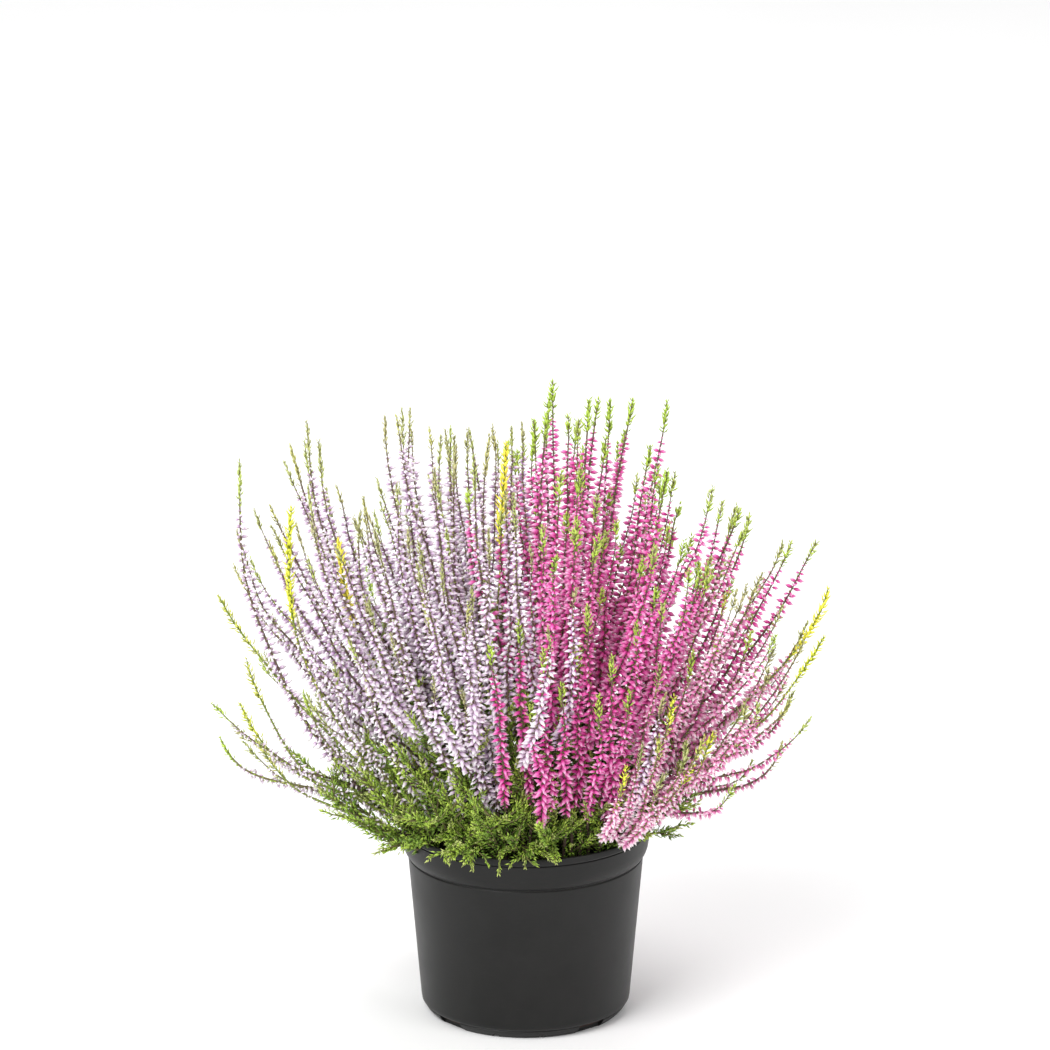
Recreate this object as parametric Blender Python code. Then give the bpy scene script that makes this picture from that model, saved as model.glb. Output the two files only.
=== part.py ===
"""Potted heather: bud-flowering ling heathers of three colours, grown together in one black nursery pot.

Metres, +Z up. The origin is the middle of the pot's flat underside, and the plant's best side faces -Y.
The pot, the peat, each flowering spray and each leafy spray are objects of their own. Every spray stands in
its own hole in the peat. A spray is a woody leader with two side spikes, and each spike is a slim stem whose
surface is raised, ring by ring, into opposite pairs of leaves or buds, turned a quarter from pair to pair.
"""

import math
import random

import bmesh
import bpy
import numpy as np
from mathutils import Vector

# Pot: the usual 13 cm nursery pot
POT_HEIGHT = 0.1032
RIM_RADIUS = 0.065
LIP_HEIGHT = 0.0042
SHOULDER_Z = 0.0847
SHOULDER_RADIUS = 0.0611
BODY_FOOT_RADIUS = 0.0540
FOOT_RADIUS = 0.0494
FOOT_HEIGHT = 0.0065
WALL = 0.0014
FLOOR = 0.0022
POT_SIDES = 32
FEET = 4
FOOT_BEARING = math.radians(-94)
POCKET_HALF_ANGLE = math.radians(9.5)
POCKET_HEIGHT = 0.0050
POCKET_DEPTH = 0.0090
NOTCH_ANGLE = math.radians(14)
NOTCH_WIDTH = 0.0032
NOTCH_HEIGHT = 0.0015

# Peat
PEAT_TOP = 0.0950
CLEARANCE = 0.0003
ROOT_DEPTH = 0.0120

# Plant
SEED = 20
SPRAYS = 38
SIDE_SPIKES = 2
LEAN_MAX = math.radians(73)
FRONT_LEAN_CUT = 0.30
BASE_RADIUS = 0.039
CROWN = np.array([0.0, 0.0, PEAT_TOP])
REACH_TOP = 0.246
REACH_FALL = 0.122
SHOULDER_LEAN = math.radians(33)
RIGHT_DIP = 0.10
GOLDEN_ANGLE = math.pi * (3 - math.sqrt(5))
LEAFY_SPRAYS = 12
LEAFY_FROM = math.radians(-58)
LEAFY_STEP = math.radians(23.5)
LEAFY_BASE_RADIUS = 0.051
TWIGS_PER_LEAFY_SPRAY = 4
TWIG_LENGTH = 0.023

# Spike: radii of the stem and of the buds' and leaves' points, and the pitch from pair to pair
STEM = 0.0014
SIDE_STEM = 0.0009
BUD_CORE = 0.0020
BUD_REACH = 0.0062
BUD_PITCH = 0.0104
BUD_DROOP = 0.0022
LEAF_CORE = 0.0012
LEAF_REACH = 0.0042
LEAFY_REACH = 0.0054
LEAFY_PITCH = 0.0068
LEAF_PITCH = 0.0095
LEAF_LIFT = 0.0032
TIP_LENGTH = 0.0170
RING_TWIST = math.radians(9)
GAP = 0.0008
LEAST_ROOM = 0.0022
SAMPLES = 44


def material(name, colour, roughness):
    """Principled material of one plain colour, given as sRGB hex."""
    made = bpy.data.materials.new(name)
    made.use_nodes = True
    shader = made.node_tree.nodes["Principled BSDF"]
    srgb = [int(colour[i : i + 2], 16) / 255 for i in (0, 2, 4)]
    linear = [c / 12.92 if c <= 0.04045 else ((c + 0.055) / 1.055) ** 2.4 for c in srgb]
    shader.inputs["Base Color"].default_value = (*linear, 1)
    shader.inputs["Roughness"].default_value = roughness
    shader.inputs["Metallic"].default_value = 0
    made.diffuse_color = (*linear, 1)
    return made


def add_object(name, bm, materials, smooth=False):
    """Turns a bmesh into a named object with these materials."""
    bmesh.ops.recalc_face_normals(bm, faces=bm.faces)
    mesh = bpy.data.meshes.new(name)
    bm.to_mesh(mesh)
    bm.free()
    for item in materials:
        mesh.materials.append(item)
    if smooth:
        mesh.shade_smooth()
        mesh.set_sharp_from_angle(angle=math.radians(35))
    made = bpy.data.objects.new(name, mesh)
    bpy.context.scene.collection.objects.link(made)
    return made


def modify_and_apply(obj, kind, **settings):
    """Adds a modifier, and keeps its result as the object's own mesh."""
    modifier = obj.modifiers.new(kind.title(), kind)
    for name, value in settings.items():
        setattr(modifier, name, value)
    graph = bpy.context.evaluated_depsgraph_get()
    result = bpy.data.meshes.new_from_object(obj.evaluated_get(graph))
    obj.modifiers.clear()
    obj.data = result


def turned(profile, sides):
    """Closed solid of revolution about Z, from (radius, height) points that start and end on the axis."""
    bm = bmesh.new()
    rings = []
    for radius, height in profile:
        count = 1 if radius == 0 else sides
        turns = [2 * math.pi * k / sides for k in range(count)]
        rings.append([bm.verts.new((radius * math.cos(a), radius * math.sin(a), height)) for a in turns])
    for low, high in zip(rings, rings[1:]):
        for k in range(sides):
            corners = [low[k % len(low)], low[(k + 1) % len(low)], high[(k + 1) % len(high)], high[k % len(high)]]
            bm.faces.new(dict.fromkeys(corners))
    return bm


def add_box(bm, middle, size, bearing):
    """Box turned about Z to a bearing. Its length runs outwards."""
    out = Vector((math.cos(bearing), math.sin(bearing), 0))
    across = Vector((-out.y, out.x, 0))
    up = Vector((0, 0, 1))
    made = bmesh.ops.create_cube(bm, size=1)["verts"]
    for v in made:
        v.co = Vector(middle) + out * v.co.x * size[0] + across * v.co.y * size[1] + up * v.co.z * size[2]


def inner_radius(height):
    """Radius of the pot's inner wall at a height."""
    heights = [FLOOR, FOOT_HEIGHT, SHOULDER_Z - WALL, SHOULDER_Z + 0.004, POT_HEIGHT]
    outside = [FOOT_RADIUS + 0.0015, BODY_FOOT_RADIUS, SHOULDER_RADIUS, SHOULDER_RADIUS + 0.0026, RIM_RADIUS - 0.0004]
    return float(np.interp(height, heights, outside)) - WALL


def make_pot(plastic):
    """Tapered wall, a shoulder groove under a flared band, a small lip, and a stepped foot with drain pockets."""
    band_top = POT_HEIGHT - LIP_HEIGHT
    outer = [
        (0, 0),
        (FOOT_RADIUS, 0),
        (FOOT_RADIUS + 0.0030, FOOT_HEIGHT * 0.33),
        (BODY_FOOT_RADIUS, FOOT_HEIGHT),
        (SHOULDER_RADIUS, SHOULDER_Z - 0.0006),
        (SHOULDER_RADIUS - 0.0004, SHOULDER_Z),
        (SHOULDER_RADIUS + 0.0016, SHOULDER_Z + 0.0026),
        (SHOULDER_RADIUS + 0.0029, SHOULDER_Z + 0.0070),
        (RIM_RADIUS - 0.0007, band_top),
        (RIM_RADIUS, band_top + 0.0004),
        (RIM_RADIUS, POT_HEIGHT - 0.0004),
        (RIM_RADIUS - 0.0004, POT_HEIGHT),
    ]
    inner_heights = [POT_HEIGHT, band_top - 0.002, SHOULDER_Z + 0.004, SHOULDER_Z - WALL, FOOT_HEIGHT, FLOOR]
    inner = [(inner_radius(z), z) for z in inner_heights]
    pot = add_object("pot", turned([*outer, *inner, (0, FLOOR)], POT_SIDES), [plastic], smooth=True)
    cutters = bmesh.new()
    for k in range(FEET):
        foot = FOOT_BEARING + k * 2 * math.pi / FEET
        pocket = foot + math.pi / FEET
        reach = BODY_FOOT_RADIUS + 0.003 - POCKET_DEPTH / 2
        middle = (reach * math.cos(pocket), reach * math.sin(pocket), POCKET_HEIGHT / 2 - 0.001)
        width = 2 * FOOT_RADIUS * math.sin(POCKET_HALF_ANGLE)
        add_box(cutters, middle, (POCKET_DEPTH, width, POCKET_HEIGHT + 0.002), pocket)
        for side in (-1, 1):
            notch = foot + side * NOTCH_ANGLE
            middle = (FOOT_RADIUS * math.cos(notch), FOOT_RADIUS * math.sin(notch), NOTCH_HEIGHT / 2 - 0.001)
            add_box(cutters, middle, (0.014, NOTCH_WIDTH, NOTCH_HEIGHT + 0.002), notch)
    cutter = add_object("pot_cutter", cutters, [])
    modify_and_apply(pot, "BOOLEAN", operation="DIFFERENCE", object=cutter, solver="EXACT")
    bpy.data.objects.remove(cutter)
    return pot


def direction(lean, bearing):
    """Unit vector that leans this far from upright towards a bearing."""
    flat = math.sin(lean)
    return np.array([flat * math.cos(bearing), flat * math.sin(bearing), math.cos(lean)])


def reach(lean, bearing):
    """Distance from the crown to the plant's dome: longest near upright, and a little lower on the right."""
    fall = max(0.0, lean - SHOULDER_LEAN) / (math.pi / 2 - SHOULDER_LEAN)
    dip = RIGHT_DIP * max(0.0, math.cos(bearing)) * min(1.0, lean / SHOULDER_LEAN)
    return (REACH_TOP - REACH_FALL * fall**1.2) * (1 - dip)


def bowed(start, end, first, last):
    """Points along a curve that leaves start along first and arrives at end along last."""
    span = float(np.linalg.norm(end - start))
    t = np.linspace(0, 1, SAMPLES)[:, None]
    one, two = start + first * span * 0.38, end - last * span * 0.36
    return (1 - t) ** 3 * start + 3 * t * (1 - t) ** 2 * one + 3 * t**2 * (1 - t) * two + t**3 * end


def lengths_along(path):
    """Distance of each point from the first, along the path."""
    steps = np.linalg.norm(np.diff(path, axis=0), axis=1)
    return np.concatenate([[0.0], np.cumsum(steps)])


class Shoot:
    """One stem: its path, where its buds begin, its thickness at the foot and the colour of its buds."""

    def __init__(self, path, bare, flower_from, stem, colour, rooted):
        self.path = path
        self.along = lengths_along(path)
        self.length = float(self.along[-1])
        self.tip_from = self.length - min(TIP_LENGTH, 0.5 * self.length)
        self.leaf_reach = LEAFY_REACH if colour == "leafy" else LEAF_REACH
        self.bare = bare
        self.flower_from = flower_from
        self.stem = stem
        self.colour = colour
        self.rooted = rooted

    def room(self):
        """Half the width that the shoot takes up at each point of its path."""
        width = np.where(self.along < self.bare, self.stem, self.leaf_reach)
        width = np.where(self.along > self.flower_from, BUD_REACH, width)
        return np.maximum(width, LEAST_ROOM)

    def at(self, distance):
        """Point and unit tangent at a distance along the path."""
        here, ahead, behind = (self.point(distance + d) for d in (0, 0.001, -0.001))
        return here, (ahead - behind) / np.linalg.norm(ahead - behind)

    def point(self, distance):
        return np.array([np.interp(distance, self.along, self.path[:, k]) for k in range(3)])


class Room:
    """What the shoots grown so far take up, as points with a radius and the number of their spray."""

    def __init__(self):
        turns = np.linspace(0, 2 * math.pi, 96)
        rim = np.stack([np.cos(turns), np.sin(turns), np.zeros(96)], axis=1) * (RIM_RADIUS - 0.0012)
        self.points = rim + [0, 0, POT_HEIGHT - 0.0015]
        self.radii = np.full(96, 0.0022)
        self.sprays = np.full(96, -1)

    def add(self, spray, shoot):
        self.points = np.concatenate([self.points, shoot.path])
        self.radii = np.concatenate([self.radii, shoot.room()])
        self.sprays = np.concatenate([self.sprays, np.full(SAMPLES, spray)])

    def holds(self, shoot, own=None, skip=0):
        """Whether a shoot, past its first samples, keeps clear of the peat and of all sprays but its own."""
        points, radii = shoot.path[skip:], shoot.room()[skip:]
        low = (points[:, 2] - radii < PEAT_TOP + GAP) & (shoot.along[skip:] > shoot.bare * 0.9)
        if low.any():
            return False
        others = self.sprays != own
        far, widths = self.points[others], self.radii[others]
        squares = (points**2).sum(axis=1)[:, None] + (far**2).sum(axis=1) - 2 * points @ far.T
        return bool((squares > (radii[:, None] + widths + GAP) ** 2).all())


def colour_towards(aim, rng):
    """Colour of the plant whose sector a shoot grows in: lilac left, deep pink middle and back, rose low right."""
    blur = rng.uniform(-0.07, 0.07)
    if aim[0] + blur < -0.06:
        return "lilac"
    if aim[0] + blur > 0.28 and aim[1] < 0.4 and aim[2] < 0.8:
        return "rose"
    return "pink"


def grow_leader(number, rng, room):
    """Main stem of a flowering spray, on a spiral over the peat below and over the dome above."""
    share = (number + 0.5) / SPRAYS
    bearing = number * GOLDEN_ANGLE
    front = max(0.0, math.cos(bearing - math.radians(-100)))
    for attempt in range(160):
        loose = 0.03 + 0.002 * attempt
        foot_radius = BASE_RADIUS * math.sqrt(share) * rng.uniform(0.9, 1.06)
        foot = CROWN + np.array([foot_radius * math.cos(bearing), foot_radius * math.sin(bearing), 0])
        lean = math.acos(1 - share * (1 - math.cos(LEAN_MAX))) * (1 - FRONT_LEAN_CUT * front**2)
        lean = max(0.02, lean + rng.uniform(-1.5 * loose, loose))
        turn = bearing + rng.uniform(-loose, loose) / max(0.25, math.sin(lean))
        tip = CROWN + direction(lean, turn) * reach(lean, turn) * rng.uniform(0.90, 1.04)
        first = direction(min(lean * 1.1, math.radians(46)), turn)
        last = direction(lean * rng.uniform(0.3, 0.6), turn + rng.uniform(-0.3, 0.3))
        path = bowed(foot, tip, first, last)
        flower_from = float(lengths_along(path)[-1]) * rng.uniform(0.28, 0.36)
        colour = colour_towards(direction(lean, turn), rng)
        shoot = Shoot(path, 0.012, flower_from, STEM, colour, True)
        if room.holds(shoot):
            return shoot
    return None


def grow_side_spike(number, leader, around, rng, room):
    """Side spike that forks from its leader and rises beside it, or nothing if there is no clear way."""
    lean_of_tip = leader.path[-1] - CROWN
    lean_of_tip /= np.linalg.norm(lean_of_tip)
    across = np.cross(lean_of_tip, [0.1, 0, 1.0])
    across /= np.linalg.norm(across)
    for attempt in range(150):
        start, along = leader.at(leader.length * rng.uniform(0.16, 0.36))
        angle = around + rng.uniform(-1.2, 1.2)
        sideways = across * math.cos(angle) + np.cross(lean_of_tip, across) * math.sin(angle)
        aim = lean_of_tip + sideways * rng.uniform(0.09, 0.24)
        aim /= np.linalg.norm(aim)
        lean, bearing = math.acos(aim[2]), math.atan2(aim[1], aim[0])
        tip = CROWN + aim * reach(lean, bearing) * rng.uniform(0.68, 1.0)
        chord = (tip - start) / np.linalg.norm(tip - start)
        first = along * 0.6 + chord * 0.8 + sideways * 0.45
        last = direction(lean * rng.uniform(0.25, 0.55), bearing + rng.uniform(-0.3, 0.3))
        path = bowed(start, tip, first / np.linalg.norm(first), last)
        flower_from = float(lengths_along(path)[-1]) * rng.uniform(0.10, 0.2)
        shoot = Shoot(path, 0.005, flower_from, SIDE_STEM, leader.colour, False)
        if room.holds(shoot, own=number) and room.holds(shoot, skip=SAMPLES // 4):
            return shoot
    return None


def grow_twig(number, leader, share, away, length, rng, room):
    """Short green shoot that forks from its leader to the side, or nothing if there is no clear way."""
    for attempt in range(90):
        start, along = leader.at(leader.length * (share + rng.uniform(-0.03, 0.03)))
        sideways = np.cross(along, away)
        sideways /= np.linalg.norm(sideways)
        first = along * 0.55 + sideways * 0.8 + np.array([0, 0, rng.uniform(0, 0.5)])
        first /= np.linalg.norm(first)
        tip = start + first * length * rng.uniform(0.65, 1.2) + np.array([0, 0, rng.uniform(0.002, 0.006)])
        path = bowed(start, tip, first, direction(0.6, math.atan2(first[1], first[0])))
        twig = Shoot(path, 0.002, 1.0, SIDE_STEM, "leafy", False)
        if room.holds(twig, own=number):
            return twig
    return None


def grow_leafy_leader(number, rng, room):
    """Main stem of a low green spray, which leans out over the rim."""
    bearing = LEAFY_FROM - (number - SPRAYS) * LEAFY_STEP
    for attempt in range(200):
        turn = bearing + rng.uniform(-0.2, 0.2)
        foot_radius = LEAFY_BASE_RADIUS + rng.uniform(-0.004, 0.003)
        foot = CROWN + np.array([foot_radius * math.cos(turn), foot_radius * math.sin(turn), 0])
        out = rng.uniform(0.026, 0.050)
        tip = foot + np.array([out * math.cos(turn), out * math.sin(turn), rng.uniform(0.020, 0.042)])
        first, last = direction(math.radians(8), turn), direction(math.radians(rng.uniform(40, 95)), turn)
        leader = Shoot(bowed(foot, tip, first, last), 0.006, 1.0, STEM, "leafy", True)
        if room.holds(leader):
            return leader
    return None


def grow_plant():
    """All sprays, each a list of shoots that starts with its leader."""
    rng = random.Random(SEED)
    room = Room()
    sprays = {}

    def keep(number, shoot):
        if shoot is not None:
            room.add(number, shoot)
            sprays.setdefault(number, []).append(shoot)

    for number in range(SPRAYS, SPRAYS + LEAFY_SPRAYS):
        keep(number, grow_leafy_leader(number, rng, room))
    for k in range(TWIGS_PER_LEAFY_SPRAY):
        away = np.array([0, 0, 1.0 if k % 2 else -1.0])
        for number in list(sprays):
            share = 0.30 + 0.45 * k / TWIGS_PER_LEAFY_SPRAY
            keep(number, grow_twig(number, sprays[number][0], share, away, TWIG_LENGTH, rng, room))
    for number in reversed(range(SPRAYS)):
        keep(number, grow_leader(number, rng, room))
    flowering = sorted(n for n in sprays if n < SPRAYS)
    for side in range(SIDE_SPIKES):
        for number in flowering:
            keep(number, grow_side_spike(number, sprays[number][0], number * 2.0 + side * math.pi, rng, room))
    return list(sprays.values())


def ring_plan(shoot):
    """(distance, core radius, reach of the points, shift along the stem, is flower) for each ring of a shoot."""
    plan = [(shoot.bare * 0.9, shoot.stem * 0.95, 0, 0, False)]
    if not shoot.rooted:
        plan.insert(0, (0.0, shoot.stem, 0, 0, False))
    flower_from = min(shoot.flower_from, shoot.tip_from)
    pitch = LEAFY_PITCH if shoot.colour == "leafy" else LEAF_PITCH
    rings = max(1, round((flower_from - shoot.bare) / pitch))
    for k in range(rings):
        distance = shoot.bare + (k + 0.6) * (flower_from - shoot.bare) / rings
        plan.append((distance, LEAF_CORE, shoot.leaf_reach, LEAF_LIFT, False))
    if shoot.colour != "leafy":
        rings = max(2, round((shoot.tip_from - flower_from) / BUD_PITCH))
        for k in range(rings):
            share = (k + 0.75) / rings
            distance = flower_from + share * (shoot.tip_from - flower_from)
            size = min(1.0, 1.25 - 0.45 * share)
            plan.append((distance, BUD_CORE * size, BUD_REACH * size, -BUD_DROOP, True))
    middle_of_tip = (shoot.length + shoot.tip_from) / 2
    plan.append((middle_of_tip, LEAF_CORE * 1.1, 0.0027, 0.0022, False))
    return plan


def shoot_bmesh(shoot):
    """Closed skin of one shoot. In each ring two opposite corners stand out, and the next ring's other two do."""
    bm = bmesh.new()
    side = np.cross(shoot.at(0.001)[1], [0.3, -0.9, 0.2])
    rings = []
    if shoot.rooted:
        side = np.array([1.0, 0.0, 0.0])
        for depth in (ROOT_DEPTH - CLEARANCE, -CLEARANCE):
            rings.append([bm.verts.new(v) for v in hole_corners(shoot.path[0], shoot.stem, depth)])
    flower = []
    plan = ring_plan(shoot)
    for j, (distance, core, out, shift, is_flower) in enumerate(plan):
        middle, along = shoot.at(distance)
        side = side - along * float(side @ along)
        side /= np.linalg.norm(side)
        other = np.cross(along, side)
        turn = RING_TWIST * j if out else 0.0
        ring = []
        for k in range(4):
            angle = k * math.pi / 2 + turn
            stands_out = out and (j + k) % 2 == 0
            radius = out if stands_out else core
            spoke = side * math.cos(angle) + other * math.sin(angle)
            ring.append(bm.verts.new(middle + spoke * radius + along * (shift if stands_out else 0)))
        rings.append(ring)
        flower.append(is_flower)
    apex = bm.verts.new(shoot.path[-1])
    bm.faces.new(rings[0][::-1])
    offset = len(rings) - len(plan)
    for j, (low, high) in enumerate(zip(rings, rings[1:])):
        for k in range(4):
            a, b, c, d = low[k], low[(k + 1) % 4], high[(k + 1) % 4], high[k]
            even = (j - offset + k) % 2 == 0
            pair = [(a, b, d), (b, c, d)] if even else [(a, b, c), (a, c, d)]
            for corners in pair:
                bm.faces.new(corners).material_index = 1 if flower[max(0, j - offset + 1)] else 0
    for k in range(4):
        bm.faces.new((rings[-1][k], rings[-1][(k + 1) % 4], apex))
    return bm


def hole_corners(foot, radius, depth):
    """Four corners below the peat's surface, square to the axes' diagonals as a root stem's are."""
    turns = [k * math.pi / 2 for k in range(4)]
    return [(foot[0] + radius * math.cos(a), foot[1] + radius * math.sin(a), foot[2] - depth) for a in turns]


def make_spray(name, shoots, materials):
    """One object for a spray: its shoots, joined where they fork."""
    spray = add_object(name, shoot_bmesh(shoots[0]), materials)
    if len(shoots) == 1:
        return spray
    joined = bpy.data.collections.new(name + "_shoots")
    for k, shoot in enumerate(shoots[1:]):
        extra = add_object(f"{name}_shoot_{k}", shoot_bmesh(shoot), materials)
        bpy.context.scene.collection.objects.unlink(extra)
        joined.objects.link(extra)
    bpy.context.scene.collection.children.link(joined)
    settings = {"operation": "UNION", "operand_type": "COLLECTION", "collection": joined}
    modify_and_apply(spray, "BOOLEAN", solver="MANIFOLD", **settings)
    for extra in list(joined.objects):
        bpy.data.objects.remove(extra)
    bpy.data.collections.remove(joined)
    return spray


def make_peat(peat, feet):
    """Block of peat that fills the pot, with a plain hole for each spray."""
    heights = [FLOOR + CLEARANCE, FOOT_HEIGHT, SHOULDER_Z - WALL, SHOULDER_Z + 0.004, PEAT_TOP]
    wall = [(inner_radius(z) - 2 * CLEARANCE, z) for z in heights]
    block = add_object("peat", turned([(0, heights[0]), *wall, (0, PEAT_TOP)], POT_SIDES), [peat])
    holes = bmesh.new()
    width = STEM + CLEARANCE * math.sqrt(2)
    for foot in feet:
        low = [holes.verts.new(v) for v in hole_corners(foot, width, ROOT_DEPTH)]
        high = [holes.verts.new(v) for v in hole_corners(foot, width, -0.002)]
        holes.faces.new(low[::-1])
        holes.faces.new(high)
        for k in range(4):
            holes.faces.new((low[k], low[(k + 1) % 4], high[(k + 1) % 4], high[k]))
    cutter = add_object("peat_cutter", holes, [])
    modify_and_apply(block, "BOOLEAN", operation="DIFFERENCE", object=cutter, solver="EXACT")
    bpy.data.objects.remove(cutter)
    return block


def main():
    for obj in list(bpy.data.objects):
        bpy.data.objects.remove(obj)
    foliage = material("heather_foliage", "5f7330", 0.6)
    buds = {
        "lilac": material("lilac_buds", "c9a9cc", 0.55),
        "pink": material("deep_pink_buds", "c63f8c", 0.55),
        "rose": material("rose_buds", "dc8fb4", 0.55),
        "leafy": foliage,
    }
    make_pot(material("black_polypropylene", "2b2a28", 0.45))
    sprays = grow_plant()
    make_peat(material("dark_peat", "2a1c14", 0.95), [shoots[0].path[0] for shoots in sprays])
    counts = {}
    for shoots in sprays:
        colour = shoots[0].colour
        counts[colour] = counts.get(colour, 0) + 1
        make_spray(f"{colour}_spray_{counts[colour]:02d}", shoots, [foliage, buds[colour]])


main()
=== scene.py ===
"""Potted heather, dressed: fine spikes, leafy twigs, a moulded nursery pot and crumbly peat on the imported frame."""

import math
import random

import bmesh
import bpy
import numpy as np
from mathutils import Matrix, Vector, noise


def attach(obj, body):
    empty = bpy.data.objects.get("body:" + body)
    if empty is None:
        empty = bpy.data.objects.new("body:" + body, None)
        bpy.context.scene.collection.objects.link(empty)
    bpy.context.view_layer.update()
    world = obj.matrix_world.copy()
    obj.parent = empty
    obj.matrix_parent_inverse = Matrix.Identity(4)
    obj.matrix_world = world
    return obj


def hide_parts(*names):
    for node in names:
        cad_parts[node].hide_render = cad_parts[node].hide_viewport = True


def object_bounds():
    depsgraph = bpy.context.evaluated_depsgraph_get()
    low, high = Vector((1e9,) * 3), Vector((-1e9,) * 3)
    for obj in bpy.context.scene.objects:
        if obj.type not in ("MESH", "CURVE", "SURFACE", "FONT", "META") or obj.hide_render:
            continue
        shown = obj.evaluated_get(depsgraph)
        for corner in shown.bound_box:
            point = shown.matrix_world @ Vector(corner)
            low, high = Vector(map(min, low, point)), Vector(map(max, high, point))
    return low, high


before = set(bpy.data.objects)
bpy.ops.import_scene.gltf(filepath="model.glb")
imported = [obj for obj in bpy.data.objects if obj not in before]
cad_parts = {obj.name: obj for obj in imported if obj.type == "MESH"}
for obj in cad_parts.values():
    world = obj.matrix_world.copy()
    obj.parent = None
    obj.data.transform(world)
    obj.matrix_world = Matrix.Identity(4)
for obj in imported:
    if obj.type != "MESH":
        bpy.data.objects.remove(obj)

CAD_BOX = [list(corner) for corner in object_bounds()]
scene = bpy.context.scene

# Pot, as in the part's source
POT_HEIGHT = 0.1032
RIM_RADIUS = 0.065
SHOULDER_Z = 0.0847
SHOULDER_RADIUS = 0.0611
BODY_FOOT_RADIUS = 0.0540
FOOT_RADIUS = 0.0494
FOOT_HEIGHT = 0.0065
WALL = 0.0014
FLOOR = 0.0022
FEET = 4
FOOT_BEARING = math.radians(-94)
BAND_Z = POT_HEIGHT - 0.0042
POCKET_HALF_ANGLE = math.radians(9.5)
POCKET_DEPTH = 0.0090
NOTCH_ANGLE = math.radians(14)
NOTCH_WIDTH = 0.0032
PEAT_TOP = 0.0950

# Plant, as in the part's source, so that every spray grows where its solid stands
SEED = 20
SPRAYS = 38
SIDE_SPIKES = 2
LEAN_MAX = math.radians(73)
FRONT_LEAN_CUT = 0.30
BASE_RADIUS = 0.039
CROWN = np.array([0.0, 0.0, PEAT_TOP])
REACH_TOP = 0.246
REACH_FALL = 0.122
SHOULDER_LEAN = math.radians(33)
RIGHT_DIP = 0.10
GOLDEN_ANGLE = math.pi * (3 - math.sqrt(5))
LEAFY_SPRAYS = 12
LEAFY_FROM = math.radians(-58)
LEAFY_STEP = math.radians(23.5)
LEAFY_BASE_RADIUS = 0.051
TWIGS_PER_LEAFY_SPRAY = 4
TWIG_LENGTH = 0.023
STEM = 0.0014
SIDE_STEM = 0.0009
BUD_REACH = 0.0062
LEAF_REACH = 0.0042
LEAFY_REACH = 0.0054
GAP = 0.0008
LEAST_ROOM = 0.0022
SAMPLES = 44

# Pattern cells in a millimetre, for the scale of noise on Object coordinates
PER_MM = 1000.0

# Fine growth that only the render shows
EXTRA_SEED = 7
EXTRA_SPIKES = 110
EXTRA_ROOM = 0.0034
TRIES_PER_SPIKE = 40
EXTRA_LEAN_MAX = math.radians(74)
LEADER_TWIGS = 9
UPRIGHTS = 44
FOOT_DEPTH = 0.002
FINE_STEM = 0.0011
SHORTEST_SHARE = 0.80
BUD_STEP = 0.0021
LEAF_STEP = 0.0011
STEM_STEP = 0.006
STEM_SIDES = 4
PEAT_GAP = 0.0003
PEAT_RINGS = 24
PEAT_SIDES = 96
POT_SIDES = 128

# Camera: the pot as the photograph frames it, seen from 20 degrees above
VIEW_LIFT = math.radians(20)
VIEW_DISTANCE = 6.0
VIEW_TARGET = Vector((0, 0, 0.05))
PHOTO_SIZE = 1050
PIXELS_PER_METRE = 1923
POT_MIDDLE_PIXEL = (525.7, 914.5)
EYE = VIEW_TARGET + Vector((0, -math.cos(VIEW_LIFT), math.sin(VIEW_LIFT))) * VIEW_DISTANCE
FOCAL_PIXELS = PIXELS_PER_METRE * VIEW_DISTANCE


# Camera, light and floor

def place_camera():
    """Long lens on the pot's middle, which the photograph has low in its frame."""
    data = bpy.data.cameras.new("camera")
    camera = link_object("camera", data)
    camera.location = EYE
    data.sensor_width = 36
    data.lens = data.sensor_width * FOCAL_PIXELS / PHOTO_SIZE
    drop = math.atan((POT_MIDDLE_PIXEL[1] - PHOTO_SIZE / 2) / FOCAL_PIXELS)
    swing = math.atan((POT_MIDDLE_PIXEL[0] - PHOTO_SIZE / 2) / FOCAL_PIXELS)
    camera.rotation_euler = (math.pi / 2 - VIEW_LIFT + drop, 0, swing)
    data.clip_end = 40
    scene.camera = camera


def add_light(name, place, size, power, target=(0, 0, 0.16)):
    """Square soft box that faces the plant."""
    data = bpy.data.lights.new(name, "AREA")
    data.shape = "SQUARE"
    data.size = size
    data.energy = power
    light = link_object(name, data)
    light.location = place
    light.rotation_euler = (Vector(target) - Vector(place)).to_track_quat("-Z", "Y").to_euler()


# Materials

def linear(code):
    """sRGB hex to linear RGBA."""
    srgb = [int(code[k : k + 2], 16) / 255 for k in (1, 3, 5)]
    return (*(c / 12.92 if c <= 0.04045 else ((c + 0.055) / 1.055) ** 2.4 for c in srgb), 1.0)


def add_node(tree, kind, inputs=None, give=None, stops=None, **settings):
    """Adds a node with its settings and gives its first enabled output, or the one named.

    Inputs go by name or number, each a value or a socket to link. Stops are a ramp's positions and colours.
    """
    made = tree.nodes.new(kind)
    for name, value in settings.items():
        setattr(made, name, value)
    for key, value in (inputs or {}).items():
        by_name = (s for s in made.inputs if s.enabled and s.name == key)
        socket = made.inputs[key] if isinstance(key, int) else next(by_name)
        if isinstance(value, bpy.types.NodeSocket):
            tree.links.new(value, socket)
        else:
            socket.default_value = value
    if stops:
        elements = made.color_ramp.elements
        while len(elements) < len(stops):
            elements.new(1.0)
        for element, (position, code) in zip(elements, stops):
            element.position, element.color = position, linear(code)
    return next(s for s in made.outputs if s.enabled and give in (None, s.name))


def start_material(name, **constants):
    """Material with a principled shader. Constants go on the shader's own sockets."""
    made = bpy.data.materials.new(name)
    made.use_nodes = True
    for key, value in constants.items():
        made.node_tree.nodes["Principled BSDF"].inputs[key.replace("_", " ")].default_value = value
    return made, made.node_tree


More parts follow.
